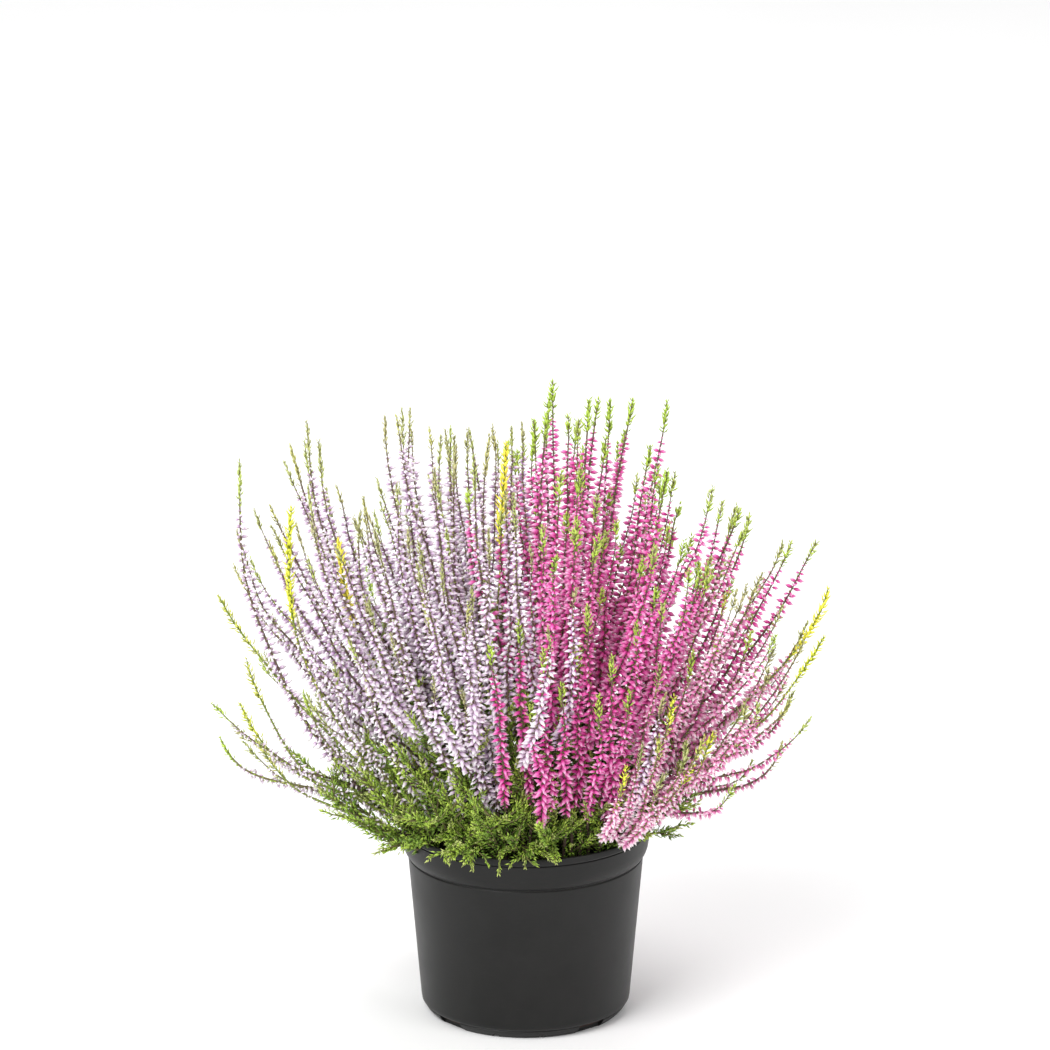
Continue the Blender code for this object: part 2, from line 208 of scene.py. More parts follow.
def wire(made, **sockets):
    """Links patterns to the shader of a material and gives the material."""
    for key, socket in sockets.items():
        made.node_tree.links.new(socket, made.node_tree.nodes["Principled BSDF"].inputs[key.replace("_", " ")])
    return made


def bud_petals(name, shaded, lit):
    """Papery closed heather buds: matt, a green-brown calyx, full colour in the middle and a pale tip."""
    made, tree = start_material(name, Roughness=0.52, IOR=1.42)
    along, tone, hue = (
        add_node(tree, "ShaderNodeAttribute", give="Fac", attribute_name=key) for key in ("along", "tone", "hue")
    )
    full, pale = (add_node(tree, "ShaderNodeValToRGB", {"Fac": along}, stops=stops) for stops in (shaded, lit))
    wander = add_node(tree, "ShaderNodeMath", {0: tone, 1: 0.55}, operation="MULTIPLY")
    share = add_node(tree, "ShaderNodeMath", {0: hue, 1: wander}, operation="ADD", use_clamp=True)
    mixed = add_node(tree, "ShaderNodeMix", {"Factor": share, "A": full, "B": pale}, data_type="RGBA")
    return wire(made, Base_Color=mixed)


def leaf_scales(name):
    """Small matt evergreen leaves: each shoot's own green from dark to golden, lighter towards the leaf's point."""
    made, tree = start_material(name, Roughness=0.5, IOR=1.45)
    along, tone, green = (
        add_node(tree, "ShaderNodeAttribute", give="Fac", attribute_name=key) for key in ("along", "tone", "green")
    )
    greens = [(0.0, "#3a4a1c"), (0.2, "#61802c"), (0.4, "#8aa63c"), (0.55, "#a9c24a")]
    golds = [(0.68, "#aaa67c"), (0.84, "#d0d842"), (1.0, "#ece04c")]
    colour = add_node(tree, "ShaderNodeValToRGB", {"Fac": green}, stops=greens + golds)
    light = add_node(tree, "ShaderNodeMath", {0: along, 1: 0.65, 2: 0.66}, operation="MULTIPLY_ADD")
    value = add_node(tree, "ShaderNodeMath", {0: tone, 1: 0.4, 2: light}, operation="MULTIPLY_ADD")
    return wire(made, Base_Color=add_node(tree, "ShaderNodeHueSaturation", {"Value": value, "Color": colour}))


def woody_stem(name):
    """Thin heather bark: dull brown-mauve, greener on young shoots, with a fine long grain of about 1 mm."""
    made, tree = start_material(name, Roughness=0.68, IOR=1.5)
    bark = add_node(tree, "ShaderNodeAttribute", give="Fac", attribute_name="bark")
    place = add_node(tree, "ShaderNodeTexCoord", give="Object")
    grain = add_node(
        tree, "ShaderNodeTexNoise", {"Vector": place, "Scale": 0.9 * PER_MM, "Detail": 3.0, "Roughness": 0.6}
    )
    browns = [(0.0, "#4a3a2c"), (0.35, "#7d6458"), (0.65, "#8d8458"), (1.0, "#8fa63c")]
    colour = add_node(tree, "ShaderNodeValToRGB", {"Fac": bark}, stops=browns)
    greys = {"Factor": grain, "A": linear("#9a9a9a"), "B": linear("#ffffff")}
    darker = add_node(tree, "ShaderNodeMix", greys, data_type="RGBA")
    both = {"Factor": 1.0, "A": colour, "B": darker}
    return wire(made, Base_Color=add_node(tree, "ShaderNodeMix", both, data_type="RGBA", blend_type="MULTIPLY"))


def moulded_polypropylene(name):
    """Black recycled polypropylene, injection moulded: satin, a soft grain of about 0.5 mm, and painted highlight
    streaks.
    """
    made, tree = start_material(name, IOR=1.49, Specular_IOR_Level=0.3)
    place = add_node(tree, "ShaderNodeTexCoord", give="Object")
    clouds = add_node(
        tree, "ShaderNodeTexNoise", {"Vector": place, "Scale": 0.038 * PER_MM, "Detail": 5.0, "Roughness": 0.6}
    )
    grain = add_node(tree, "ShaderNodeTexNoise", {"Vector": place, "Scale": 2 * PER_MM, "Detail": 2.0})
    # Painted highlight: faint streaks, a little lighter, added onto the black.
    upright = add_node(tree, "ShaderNodeMapping", {"Vector": place, "Scale": (60.0, 60.0, 420.0)})
    highlight_streaks = add_node(tree, "ShaderNodeTexNoise", {"Vector": upright, "Scale": 3.0, "Detail": 6.0, "Roughness": 0.7})
    blacks = [(0.25, "#0a0a09"), (0.6, "#141413"), (0.85, "#141312")]
    colour = add_node(tree, "ShaderNodeValToRGB", {"Fac": clouds}, stops=blacks)
    painted_highlight = add_node(tree, "ShaderNodeValToRGB", {"Fac": highlight_streaks}, stops=[(0.55, "#000000"), (0.8, "#181817")])
    painted_highlight_mix = {"Factor": 0.4, "A": colour, "B": painted_highlight}
    satin = {"Value": clouds, "From Min": 0.2, "From Max": 0.8, "To Min": 0.36, "To Max": 0.5}
    return wire(
        made,
        Base_Color=add_node(tree, "ShaderNodeMix", painted_highlight_mix, data_type="RGBA", blend_type="ADD"),
        Roughness=add_node(tree, "ShaderNodeMapRange", satin),
        Normal=add_node(tree, "ShaderNodeBump", {"Strength": 0.25, "Distance": 0.0001, "Height": grain}),
    )


def moist_peat(name):
    """Sphagnum peat, damp: nearly black brown with redder fibres, matt, in crumbs of 1 to 4 mm."""
    made, tree = start_material(name, Roughness=0.85, IOR=1.4)
    place = add_node(tree, "ShaderNodeTexCoord", give="Object")
    crumbs = add_node(
        tree, "ShaderNodeTexNoise", {"Vector": place, "Scale": 0.42 * PER_MM, "Detail": 8.0, "Roughness": 0.7}
    )
    cells = add_node(tree, "ShaderNodeTexVoronoi", {"Vector": place, "Scale": 0.48 * PER_MM})
    browns = [(0.25, "#140c08"), (0.5, "#2c1a12"), (0.68, "#4a2c1e"), (0.85, "#6e4a34")]
    coarse = add_node(tree, "ShaderNodeBump", {"Strength": 0.8, "Distance": 0.0008, "Height": crumbs})
    fine = {"Strength": 0.5, "Distance": 0.0006, "Height": cells, "Normal": coarse}
    return wire(
        made,
        Base_Color=add_node(tree, "ShaderNodeValToRGB", {"Fac": crumbs}, stops=browns),
        Normal=add_node(tree, "ShaderNodeBump", fine),
    )


def studio_floor(name):
    """Matt white paper sweep."""
    made, tree = start_material(name, Roughness=0.9, IOR=1.4)
    place = add_node(tree, "ShaderNodeTexCoord", give="Object")
    cloud = add_node(tree, "ShaderNodeTexNoise", {"Vector": place, "Scale": 2.0, "Detail": 2.0})
    whites = [(0.3, "#fafafa"), (0.7, "#fdfdfd")]
    return wire(made, Base_Color=add_node(tree, "ShaderNodeValToRGB", {"Fac": cloud}, stops=whites))


# Growth, step for step as in the part's source

def direction(lean, bearing):
    """Unit vector that leans this far from upright towards a bearing."""
    flat = math.sin(lean)
    return np.array([flat * math.cos(bearing), flat * math.sin(bearing), math.cos(lean)])


def polar(radius, bearing, height=0.0):
    """Point at a radius and bearing round the Z axis."""
    return np.array([radius * math.cos(bearing), radius * math.sin(bearing), height])


def unit(vector):
    """The vector at length one."""
    return vector / np.linalg.norm(vector)


def reach(lean, bearing):
    """Distance from the crown to the plant's dome: longest near upright, and a little lower on the right."""
    fall = max(0.0, lean - SHOULDER_LEAN) / (math.pi / 2 - SHOULDER_LEAN)
    dip = RIGHT_DIP * max(0.0, math.cos(bearing)) * min(1.0, lean / SHOULDER_LEAN)
    return (REACH_TOP - REACH_FALL * fall**1.2) * (1 - dip)


def bowed(start, end, first, last):
    """Points along a curve that leaves start along first and arrives at end along last."""
    span = float(np.linalg.norm(end - start))
    t = np.linspace(0, 1, SAMPLES)[:, None]
    one, two = start + first * span * 0.38, end - last * span * 0.36
    return (1 - t) ** 3 * start + 3 * t * (1 - t) ** 2 * one + 3 * t**2 * (1 - t) * two + t**3 * end


def lengths_along(path):
    """Distance of each point from the first, along the path."""
    steps = np.linalg.norm(np.diff(path, axis=0), axis=1)
    return np.concatenate([[0.0], np.cumsum(steps)])


class Shoot:
    """One stem: its path, where leaves and buds begin, its thickness at the foot, its colour and its look."""

    def __init__(self, path, bare, flower_from, stem, colour, rooted, look=None):
        self.path = path
        self.along = lengths_along(path)
        self.length = float(self.along[-1])
        self.leaf_reach = LEAFY_REACH if colour == "leafy" else LEAF_REACH
        self.bare = bare
        self.flower_from = flower_from
        self.stem = stem
        self.colour = colour
        self.rooted = rooted
        self.look = look

    def room(self):
        """Half the width that the shoot takes up at each point of its path."""
        width = np.where(self.along < self.bare, self.stem, self.leaf_reach)
        width = np.where(self.along > self.flower_from, BUD_REACH, width)
        return np.maximum(width, LEAST_ROOM)

    def at(self, distance):
        """Point and unit tangent at a distance along the path."""
        here, ahead, behind = (self.point(distance + d) for d in (0, 0.001, -0.001))
        return here, (ahead - behind) / np.linalg.norm(ahead - behind)

    def point(self, distance):
        return np.array([np.interp(distance, self.along, self.path[:, k]) for k in range(3)])


class Room:
    """What the shoots grown so far take up, as points with a radius and the number of their spray."""

    def __init__(self):
        turns = np.linspace(0, 2 * math.pi, 96)
        rim = np.stack([np.cos(turns), np.sin(turns), np.zeros(96)], axis=1) * (RIM_RADIUS - 0.0012)
        self.points = rim + [0, 0, POT_HEIGHT - 0.0015]
        self.radii = np.full(96, 0.0022)
        self.sprays = np.full(96, -1)

    def add(self, spray, shoot):
        self.points = np.concatenate([self.points, shoot.path])
        self.radii = np.concatenate([self.radii, shoot.room()])
        self.sprays = np.concatenate([self.sprays, np.full(SAMPLES, spray)])

    def holds(self, shoot, own=None, skip=0):
        """Whether a shoot, past its first samples, keeps clear of the peat and of all sprays but its own."""
        points, radii = shoot.path[skip:], shoot.room()[skip:]
        low = (points[:, 2] - radii < PEAT_TOP + GAP) & (shoot.along[skip:] > shoot.bare * 0.9)
        if low.any():
            return False
        others = self.sprays != own
        far, widths = self.points[others], self.radii[others]
        squares = (points**2).sum(axis=1)[:, None] + (far**2).sum(axis=1) - 2 * points @ far.T
        return bool((squares > (radii[:, None] + widths + GAP) ** 2).all())


def colour_towards(aim, rng):
    """Colour of the plant whose sector a shoot grows in: lilac left, deep pink middle and back, rose low right."""
    blur = rng.uniform(-0.07, 0.07)
    if aim[0] + blur < -0.06:
        return "lilac"
    if aim[0] + blur > 0.28 and aim[1] < 0.4 and aim[2] < 0.8:
        return "rose"
    return "pink"


def grow_leader(number, rng, room):
    """Main stem of a flowering spray, on a spiral over the peat below and over the dome above."""
    share = (number + 0.5) / SPRAYS
    bearing = number * GOLDEN_ANGLE
    front = max(0.0, math.cos(bearing - math.radians(-100)))
    for attempt in range(160):
        loose = 0.03 + 0.002 * attempt
        foot_radius = BASE_RADIUS * math.sqrt(share) * rng.uniform(0.9, 1.06)
        foot = CROWN + polar(foot_radius, bearing)
        lean = math.acos(1 - share * (1 - math.cos(LEAN_MAX))) * (1 - FRONT_LEAN_CUT * front**2)
        lean = max(0.02, lean + rng.uniform(-1.5 * loose, loose))
        turn = bearing + rng.uniform(-loose, loose) / max(0.25, math.sin(lean))
        tip = CROWN + direction(lean, turn) * reach(lean, turn) * rng.uniform(0.90, 1.04)
        first = direction(min(lean * 1.1, math.radians(46)), turn)
        last = direction(lean * rng.uniform(0.3, 0.6), turn + rng.uniform(-0.3, 0.3))
        path = bowed(foot, tip, first, last)
        flower_from = float(lengths_along(path)[-1]) * rng.uniform(0.28, 0.36)
        colour = colour_towards(direction(lean, turn), rng)
        shoot = Shoot(path, 0.012, flower_from, STEM, colour, True)
        if room.holds(shoot):
            return shoot
    return None


def grow_side_spike(number, leader, around, rng, room):
    """Side spike that forks from its leader and rises beside it, or nothing if there is no clear way."""
    lean_of_tip = unit(leader.path[-1] - CROWN)
    across = unit(np.cross(lean_of_tip, [0.1, 0, 1.0]))
    for attempt in range(150):
        start, along = leader.at(leader.length * rng.uniform(0.16, 0.36))
        angle = around + rng.uniform(-1.2, 1.2)
        sideways = across * math.cos(angle) + np.cross(lean_of_tip, across) * math.sin(angle)
        aim = unit(lean_of_tip + sideways * rng.uniform(0.09, 0.24))
        lean, bearing = math.acos(aim[2]), math.atan2(aim[1], aim[0])
        tip = CROWN + aim * reach(lean, bearing) * rng.uniform(0.68, 1.0)
        chord = unit(tip - start)
        first = along * 0.6 + chord * 0.8 + sideways * 0.45
        last = direction(lean * rng.uniform(0.25, 0.55), bearing + rng.uniform(-0.3, 0.3))
        path = bowed(start, tip, unit(first), last)
        flower_from = float(lengths_along(path)[-1]) * rng.uniform(0.10, 0.2)
        shoot = Shoot(path, 0.005, flower_from, SIDE_STEM, leader.colour, False)
        if room.holds(shoot, own=number) and room.holds(shoot, skip=SAMPLES // 4):
            return shoot
    return None


def grow_twig(number, leader, share, away, length, rng, room):
    """Short green shoot that forks from its leader to the side, or nothing if there is no clear way."""
    for attempt in range(90):
        start, along = leader.at(leader.length * (share + rng.uniform(-0.03, 0.03)))
        sideways = unit(np.cross(along, away))
        first = unit(along * 0.55 + sideways * 0.8 + np.array([0, 0, rng.uniform(0, 0.5)]))
        tip = start + first * length * rng.uniform(0.65, 1.2) + np.array([0, 0, rng.uniform(0.002, 0.006)])
        path = bowed(start, tip, first, direction(0.6, math.atan2(first[1], first[0])))
        twig = Shoot(path, 0.002, 1.0, SIDE_STEM, "leafy", False)
        if room.holds(twig, own=number):
            return twig
    return None


def grow_leafy_leader(number, rng, room):
    """Main stem of a low green spray, which leans out over the rim."""
    bearing = LEAFY_FROM - (number - SPRAYS) * LEAFY_STEP
    for attempt in range(200):
        turn = bearing + rng.uniform(-0.2, 0.2)
        foot_radius = LEAFY_BASE_RADIUS + rng.uniform(-0.004, 0.003)
        foot = CROWN + polar(foot_radius, turn)
        out_by = rng.uniform(0.026, 0.050)
        tip = foot + polar(out_by, turn, rng.uniform(0.020, 0.042))
        first, last = direction(math.radians(8), turn), direction(math.radians(rng.uniform(40, 95)), turn)
        leader = Shoot(bowed(foot, tip, first, last), 0.006, 1.0, STEM, "leafy", True)
        if room.holds(leader):
            return leader
    return None


def grow_plant():
    """All sprays by node name, each a list of shoots that starts with its leader."""
    rng = random.Random(SEED)
    room = Room()
    sprays = {}

    def keep(number, shoot):
        if shoot is not None:
            room.add(number, shoot)
            sprays.setdefault(number, []).append(shoot)

    for number in range(SPRAYS, SPRAYS + LEAFY_SPRAYS):
        keep(number, grow_leafy_leader(number, rng, room))
    for k in range(TWIGS_PER_LEAFY_SPRAY):
        away = np.array([0, 0, 1.0 if k % 2 else -1.0])
        for number in list(sprays):
            share = 0.30 + 0.45 * k / TWIGS_PER_LEAFY_SPRAY
            keep(number, grow_twig(number, sprays[number][0], share, away, TWIG_LENGTH, rng, room))
    for number in reversed(range(SPRAYS)):
        keep(number, grow_leader(number, rng, room))
    flowering = sorted(n for n in sprays if n < SPRAYS)
    for side in range(SIDE_SPIKES):
        for number in flowering:
            keep(number, grow_side_spike(number, sprays[number][0], number * 2.0 + side * math.pi, rng, room))
    named, counts = {}, {}
    for shoots in sprays.values():
        colour = shoots[0].colour
        counts[colour] = counts.get(colour, 0) + 1
        named[f"{colour}_spray_{counts[colour]:02d}"] = shoots
    return named


# Fine growth of the render: more spikes and twigs between the part's own, each forked from a leader

def seen_at(pixel_x, pixel_y, depth):
    """Point on the camera's ray through a pixel of the photograph, where the ray crosses the plane y = depth."""
    across, down = pixel_x - PHOTO_SIZE / 2, pixel_y - PHOTO_SIZE / 2
    turn = scene.camera.rotation_euler.to_matrix()
    ray = turn @ Vector((across / FOCAL_PIXELS, -down / FOCAL_PIXELS, -1))
    return np.array(EYE + ray * ((depth - EYE.y) / ray.y))


def over_skyline(point):
    """Whether the camera sees a point above the plant's own top outline."""
    ray = scene.camera.rotation_euler.to_matrix().transposed() @ (Vector(point) - EYE)
    scale = FOCAL_PIXELS / -ray.z
    pixel_x, pixel_y = PHOTO_SIZE / 2 + ray.x * scale, PHOTO_SIZE / 2 - ray.y * scale
    return pixel_y < np.interp(pixel_x, *zip(*SKYLINE))


def threaded(points):
    """Smooth path through a few points, by one polynomial in each coordinate."""
    points = np.array(points)
    knots = lengths_along(points)
    knots /= knots[-1]
    t = np.linspace(0, 1, SAMPLES)
    return np.stack([np.polyval(np.polyfit(knots, points[:, k], len(points) - 1), t) for k in range(3)], axis=1)


def sprays_of(plant, colour):
    """Names of the sprays of a colour."""
    return [name for name in plant if plant[name][0].colour == colour]


def host_for(plant, colour, aim):
    """Name of the spray of this colour whose leader leads most nearly towards a direction."""

    def nearness(name):
        tip = plant[name][0].path[-1] - CROWN
        return float(tip @ aim) / float(np.linalg.norm(tip))

    return max(sprays_of(plant, colour), key=nearness)


def keeps_clear(taken, path, least):
    """Whether the outer two thirds of a path keep a distance from the points of all spikes so far."""
    points = path[SAMPLES // 3 :]
    squares = (points**2).sum(axis=1)[:, None] + (taken**2).sum(axis=1) - 2 * points @ taken.T
    return bool(squares.min() > least**2)


def grow_extra_spikes(plant, extra):
    """Slim spikes in the free room of the dome. Each forks low from the leader that leads its way."""
    rng = random.Random(EXTRA_SEED)
    taken = np.concatenate([s.path[SAMPLES // 3 :] for shoots in plant.values() for s in shoots])
    taken = np.concatenate([taken, *[s.path[SAMPLES // 3 :] for shoots in extra.values() for s in shoots]])
    grown, tries = 0, EXTRA_SPIKES * TRIES_PER_SPIKE
    for attempt in range(tries):
        if grown == EXTRA_SPIKES:
            break
        lean = math.acos(1 - rng.random() * (1 - math.cos(EXTRA_LEAN_MAX)))
        bearing = rng.uniform(-math.pi, math.pi)
        front = max(0.0, math.cos(bearing - math.radians(-95)))
        lean *= 1 - 0.22 * front**2
        aim = direction(lean, bearing)
        colour = colour_towards(aim, rng)
        name = host_for(plant, colour, aim)
        start, along = plant[name][0].at(plant[name][0].length * rng.uniform(0.03, 0.22))
        low = 0.62 if front > 0.4 else 0.74
        tip = CROWN + aim * reach(lean, bearing) * rng.uniform(low, 0.99)
        last = direction(lean * rng.uniform(0.3, 0.6), bearing + rng.uniform(-0.3, 0.3))
        path = bowed(start, tip, unit(along * 0.5 + unit(tip - start) * 0.9), last)
        least = EXTRA_ROOM * (2.0 - 0.9 * attempt / tries)
        inside = all(low < at < high for low, at, high in zip(CAD_BOX[0], tip, CAD_BOX[1]))
        if over_skyline(tip) or not inside:
            continue
        if keeps_clear(taken, path, least) and path[SAMPLES // 4 :, 2].min() > PEAT_TOP + 0.004:
            spike = Shoot(path, 0.004, 0.0, SIDE_STEM, colour, False)
            spike.flower_from = spike.length * rng.uniform(0.22, 0.36)
            extra.setdefault(name, []).append(spike)
            taken = np.concatenate([taken, path[SAMPLES // 3 :]])
            grown += 1


def grow_extra_twigs(plant, extra):
    """Leafy twigs low on every leader and all along the leafy sprays, which make the green bush over the peat."""
    rng = random.Random(EXTRA_SEED + 1)
    for name, shoots in plant.items():
        leafy = shoots[0].colour == "leafy"
        for shoot in list(shoots):
            if shoot.colour == "leafy" and not shoot.rooted:
                count, span, longest = 3, (0.2, 0.9), 0.012
            elif leafy:
                count, span, longest = 16, (0.08, 0.95), 0.024
            elif shoot.rooted:
                count, span, longest = LEADER_TWIGS, (0.05, 0.34), 0.026
            else:
                count, span, longest = 4, (0.03, 0.22), 0.020
            for k in range(count):
                share = span[0] + (span[1] - span[0]) * (k + rng.random()) / count
                start, along = shoot.at(shoot.length * share)
                turn = rng.uniform(0, 2 * math.pi)
                sideways = polar(1, turn, rng.uniform(-0.1, 0.5))
                first = unit(along * 0.6 + sideways * 0.7)
                length = longest * rng.uniform(0.55, 1.1)
                tip = start + first * length + np.array([0, 0, rng.uniform(-0.001, 0.005)])
                if tip[2] < PEAT_TOP - 0.0035 or (tip[2] < POT_HEIGHT + 0.002 and math.hypot(tip[0], tip[1]) > 0.060):
                    tip[2] = POT_HEIGHT + rng.uniform(0.001, 0.006)
                path = bowed(start, tip, first, direction(rng.uniform(0.3, 1.0), math.atan2(first[1], first[0])))
                extra.setdefault(name, []).append(Shoot(path, 0.001, 1.0, 0.0007, "leafy", False))


def grow_uprights(plant, extra):
    """Leafy shoots that rise from the peat between the spikes, most at the front and on the left."""
    rng = random.Random(EXTRA_SEED + 2)
    for k in range(UPRIGHTS):
        bearing = math.radians(rng.uniform(-200, -35) if k % 5 else rng.uniform(-35, 160))
        foot_radius, lean = rng.uniform(0.034, 0.053), math.radians(rng.uniform(14, 58))
        foot = polar(foot_radius, bearing, PEAT_TOP - FOOT_DEPTH)
        tip = foot + direction(lean, bearing + rng.uniform(-0.5, 0.5)) * rng.uniform(0.034, 0.078)
        last = direction(lean * 0.6, bearing + rng.uniform(-0.6, 0.6))
        shoot = Shoot(bowed(foot, tip, direction(lean * 0.4, bearing), last), 0.004, 1.0, 0.0010, "leafy", True)

        def apart(name):
            return float(np.linalg.norm(plant[name][0].path[-1][:2] - tip[:2]))

        host = extra.setdefault(min(sprays_of(plant, "leafy"), key=apart), [])
        host.append(shoot)
        host.extend(side_twigs(shoot, 7, rng))


# Shoots that mark the plant's own outline: colour, look, and for each the pixels and depth (mm) from tip to foot
MARKED = [
    ("lilac", "lilac", [[(235, 467, -5), (243, 560, -5), (272, 660, -12), (330, 745, -20)]]),
    ("lilac", "golden", [[(289, 512, -30), (286, 575, -30), (303, 650, -30), (340, 725, -28)]]),
    ("lilac", "lilac", [
        [(303, 418, 0), (318, 505, 0), (345, 600, -4), (388, 690, -8)],
        [(315, 438, -8), (333, 525, -8), (362, 612, -10), (402, 700, -12)],
    ]),
    ("lilac", "golden", [[(335, 540, -22), (346, 592, -22), (368, 655, -22), (404, 722, -20)]]),
    ("lilac", "sprig", [
        [(216, 592, -6), (234, 622, -8), (262, 660, -12), (312, 715, -18)],
        [(251, 663, -26), (262, 702, -26), (287, 748, -26), (335, 790, -24)],
        [(236, 708, -20), (262, 744, -22), (292, 768, -24), (345, 798, -22)],
        [(253, 742, -36), (280, 776, -36), (312, 797, -34), (362, 815, -30)],
    ]),
    ("lilac", "lilac", [
        [(357, 517, -20), (362, 580, -20), (380, 655, -20), (415, 735, -20)],
        [(388, 415, 6), (396, 500, 4), (412, 610, 0), (440, 715, -6)],
        [(406, 410, 14), (410, 500, 12), (424, 610, 6), (452, 715, 0)],
        [(441, 433, 4), (438, 520, 0), (446, 620, -6), (468, 720, -10)],
        [(453, 452, -6), (452, 540, -10), (460, 630, -14), (478, 725, -16)],
    ]),
    ("lilac", "golden", [[(508, 443, -4), (503, 520, -8), (500, 610, -14), (505, 710, -20)]]),
    ("lilac", "lilac", [[(486, 436, 10), (484, 520, 6), (486, 620, 0), (496, 720, -6)]]),
    ("pink", "pink", [
        [(537, 418, 10), (540, 510, 6), (536, 620, 0), (526, 730, -8)],
        [(557, 383, 18), (556, 480, 14), (550, 600, 6), (536, 720, 0)],
        [(602, 435, 14), (596, 520, 10), (584, 630, 2), (560, 735, -6)],
        [(612, 405, 30), (606, 500, 26), (590, 620, 16), (562, 725, 6)],
        [(648, 448, 10), (638, 530, 8), (616, 640, 2), (580, 740, -6)],
        [(663, 400, 34), (650, 500, 30), (622, 620, 20), (580, 725, 8)],
        [(727, 500, 20), (704, 575, 18), (666, 665, 12), (612, 750, 4)],
        [(752, 513, 24), (726, 590, 22), (682, 680, 14), (622, 757, 6)],
        [(792, 545, 22), (756, 615, 20), (704, 695, 12), (634, 765, 4)],
        [(813, 543, 34), (778, 610, 30), (722, 695, 20), (648, 765, 10)],
    ]),
    ("rose", "golden", [[(828, 590, 6), (795, 650, 4), (745, 710, 0), (660, 780, -8)]]),
    ("rose", "sprig", [[(820, 640, -10), (792, 688, -12), (750, 732, -14), (676, 782, -16)]]),
    ("rose", "rose", [
        [(800, 640, -6), (765, 705, -8), (718, 755, -12), (650, 800, -16)],
        [(772, 668, -24), (742, 725, -26), (702, 770, -28), (645, 808, -28)],
    ]),
    ("rose", "blush", [
        [(742, 700, -38), (718, 750, -38), (684, 790, -38), (636, 818, -36)],
        [(715, 730, -80), (697, 772, -77), (668, 806, -64), (628, 828, -50)],
        [(684, 742, -88), (672, 785, -85), (650, 815, -70), (616, 832, -54)],
    ]),
    ("pink", "hot", [
        [(495, 648, -116), (497, 700, -111), (503, 758, -90)],
        [(517, 625, -102), (521, 690, -99), (528, 757, -80)],
        [(540, 655, -110), (543, 710, -105), (547, 767, -86)],
        [(590, 612, -100), (590, 680, -97), (586, 750, -78)],
        [(612, 660, -104), (610, 715, -99), (605, 768, -80)],
    ]),
    ("pink", "pink", [
        [(636, 625, -94), (633, 690, -91), (624, 754, -74)],
        [(660, 602, -84), (655, 672, -83), (642, 744, -68)],
    ]),
    ("pink", "hot", [
        [(560, 690, -106), (563, 735, -101), (566, 780, -82)],
        [(576, 648, -100), (578, 705, -95), (576, 764, -76)],
        [(603, 700, -104), (602, 742, -99), (596, 784, -80)],
    ]),
    ("pink", "pink", [
        [(626, 690, -98), (622, 735, -93), (612, 780, -74)],
        [(532, 706, -106), (536, 748, -101), (541, 790, -82)],
    ]),
    ("rose", "rose", [[(655, 668, -92), (648, 722, -87), (630, 776, -70)]]),
    ("rose", "blush", [[(676, 700, -94), (664, 745, -89), (642, 790, -72)]]),
    ("rose", "rose", [[(690, 650, -80), (676, 712, -77), (648, 775, -62)]]),
    ("rose", "blush", [[(700, 735, -90), (682, 775, -85), (655, 808, -68)]]),
    ("rose", "pink", [
        [(722, 640, -38), (700, 708, -40), (664, 770, -40)],
        [(748, 630, -22), (722, 700, -24), (682, 764, -26)],
    ]),
    ("rose", "blush", [
        [(668, 775, -102), (655, 805, -97), (636, 832, -76)],
        [(640, 748, -104), (634, 788, -99), (620, 822, -78)],
        [(655, 742, -98), (648, 790, -93), (632, 826, -74)],
        [(690, 765, -84), (672, 797, -80), (646, 826, -66)],
        [(622, 770, -106), (618, 802, -101), (608, 828, -78)],
    ]),
    ("lilac", "lilac", [
        [(665, 690, -100), (656, 735, -95), (638, 785, -76)],
        [(458, 692, -96), (470, 735, -89), (486, 778, -72)],
        [(363, 677, -80), (380, 725, -75), (408, 775, -60)],
        [(420, 600, -92), (446, 690, -89), (474, 765, -72)],
        [(440, 560, -86), (460, 660, -85), (486, 750, -70)],
        [(395, 640, -90), (422, 712, -87), (454, 778, -70)],
        [(372, 598, -44), (398, 690, -46), (436, 768, -42)],
        [(470, 590, -90), (480, 680, -87), (493, 762, -72)],
    ]),
    ("lilac", "pale", [
        [(330, 668, -40), (352, 730, -40), (388, 786, -38)],
        [(300, 690, -24), (325, 742, -26), (365, 790, -26)],
    ]),
    ("leafy", "leafy", [
        [(296, 757, -22), (326, 782, -24), (366, 815, -26)],
        [(316, 735, -4), (342, 765, -8), (378, 803, -14)],
        [(318, 785, -34), (345, 805, -34), (380, 828, -32)],
        [(342, 812, -42), (364, 824, -42), (392, 838, -38)],
        [(360, 770, -50), (378, 795, -48), (402, 822, -42)],
        [(385, 735, -60), (398, 772, -58), (418, 812, -50)],
        [(405, 750, -70), (422, 784, -68), (444, 822, -56)],
        [(430, 715, -62), (444, 756, -62), (462, 806, -54)],
        [(452, 748, -72), (464, 784, -70), (478, 824, -58)],
        [(508, 690, -54), (510, 742, -56), (512, 800, -50)],
        [(522, 760, -74), (522, 790, -72), (522, 824, -60)],
        [(472, 868, -71), (474, 853, -62), (478, 842, -54)],
        [(500, 873, -72), (500, 856, -63), (500, 843, -54)],
        [(526, 866, -71), (524, 853, -62), (520, 842, -54)],
        [(446, 862, -69), (450, 848, -60), (458, 838, -52)],
        [(556, 858, -68), (552, 848, -60), (546, 840, -52)],
        [(382, 850, -58), (396, 846, -56), (414, 842, -50)],
        [(690, 800, -20), (664, 812, -22), (634, 826, -24)],
        [(672, 832, -44), (654, 834, -42), (630, 838, -38)],
    ]),
]


def side_twigs(shoot, count, rng):
    """Short leafy twigs all along a leafy shoot, clear of the pot's wall."""
    twigs = []
    for k in range(count):
        start, along = shoot.at(shoot.length * (0.12 + 0.80 * (k + rng.random()) / count))
        turn = rng.uniform(0, 2 * math.pi)
        first = unit(along * 0.75 + polar(1, turn, 0.15) * 0.6)
        end = start + first * rng.uniform(0.010, 0.020)
        if end[2] > POT_HEIGHT - 0.002 or math.hypot(end[0], end[1]) < 0.060:
            twigs.append(Shoot(bowed(start, end, first, along), 0.001, 1.0, 0.0006, "leafy", False))
    return twigs


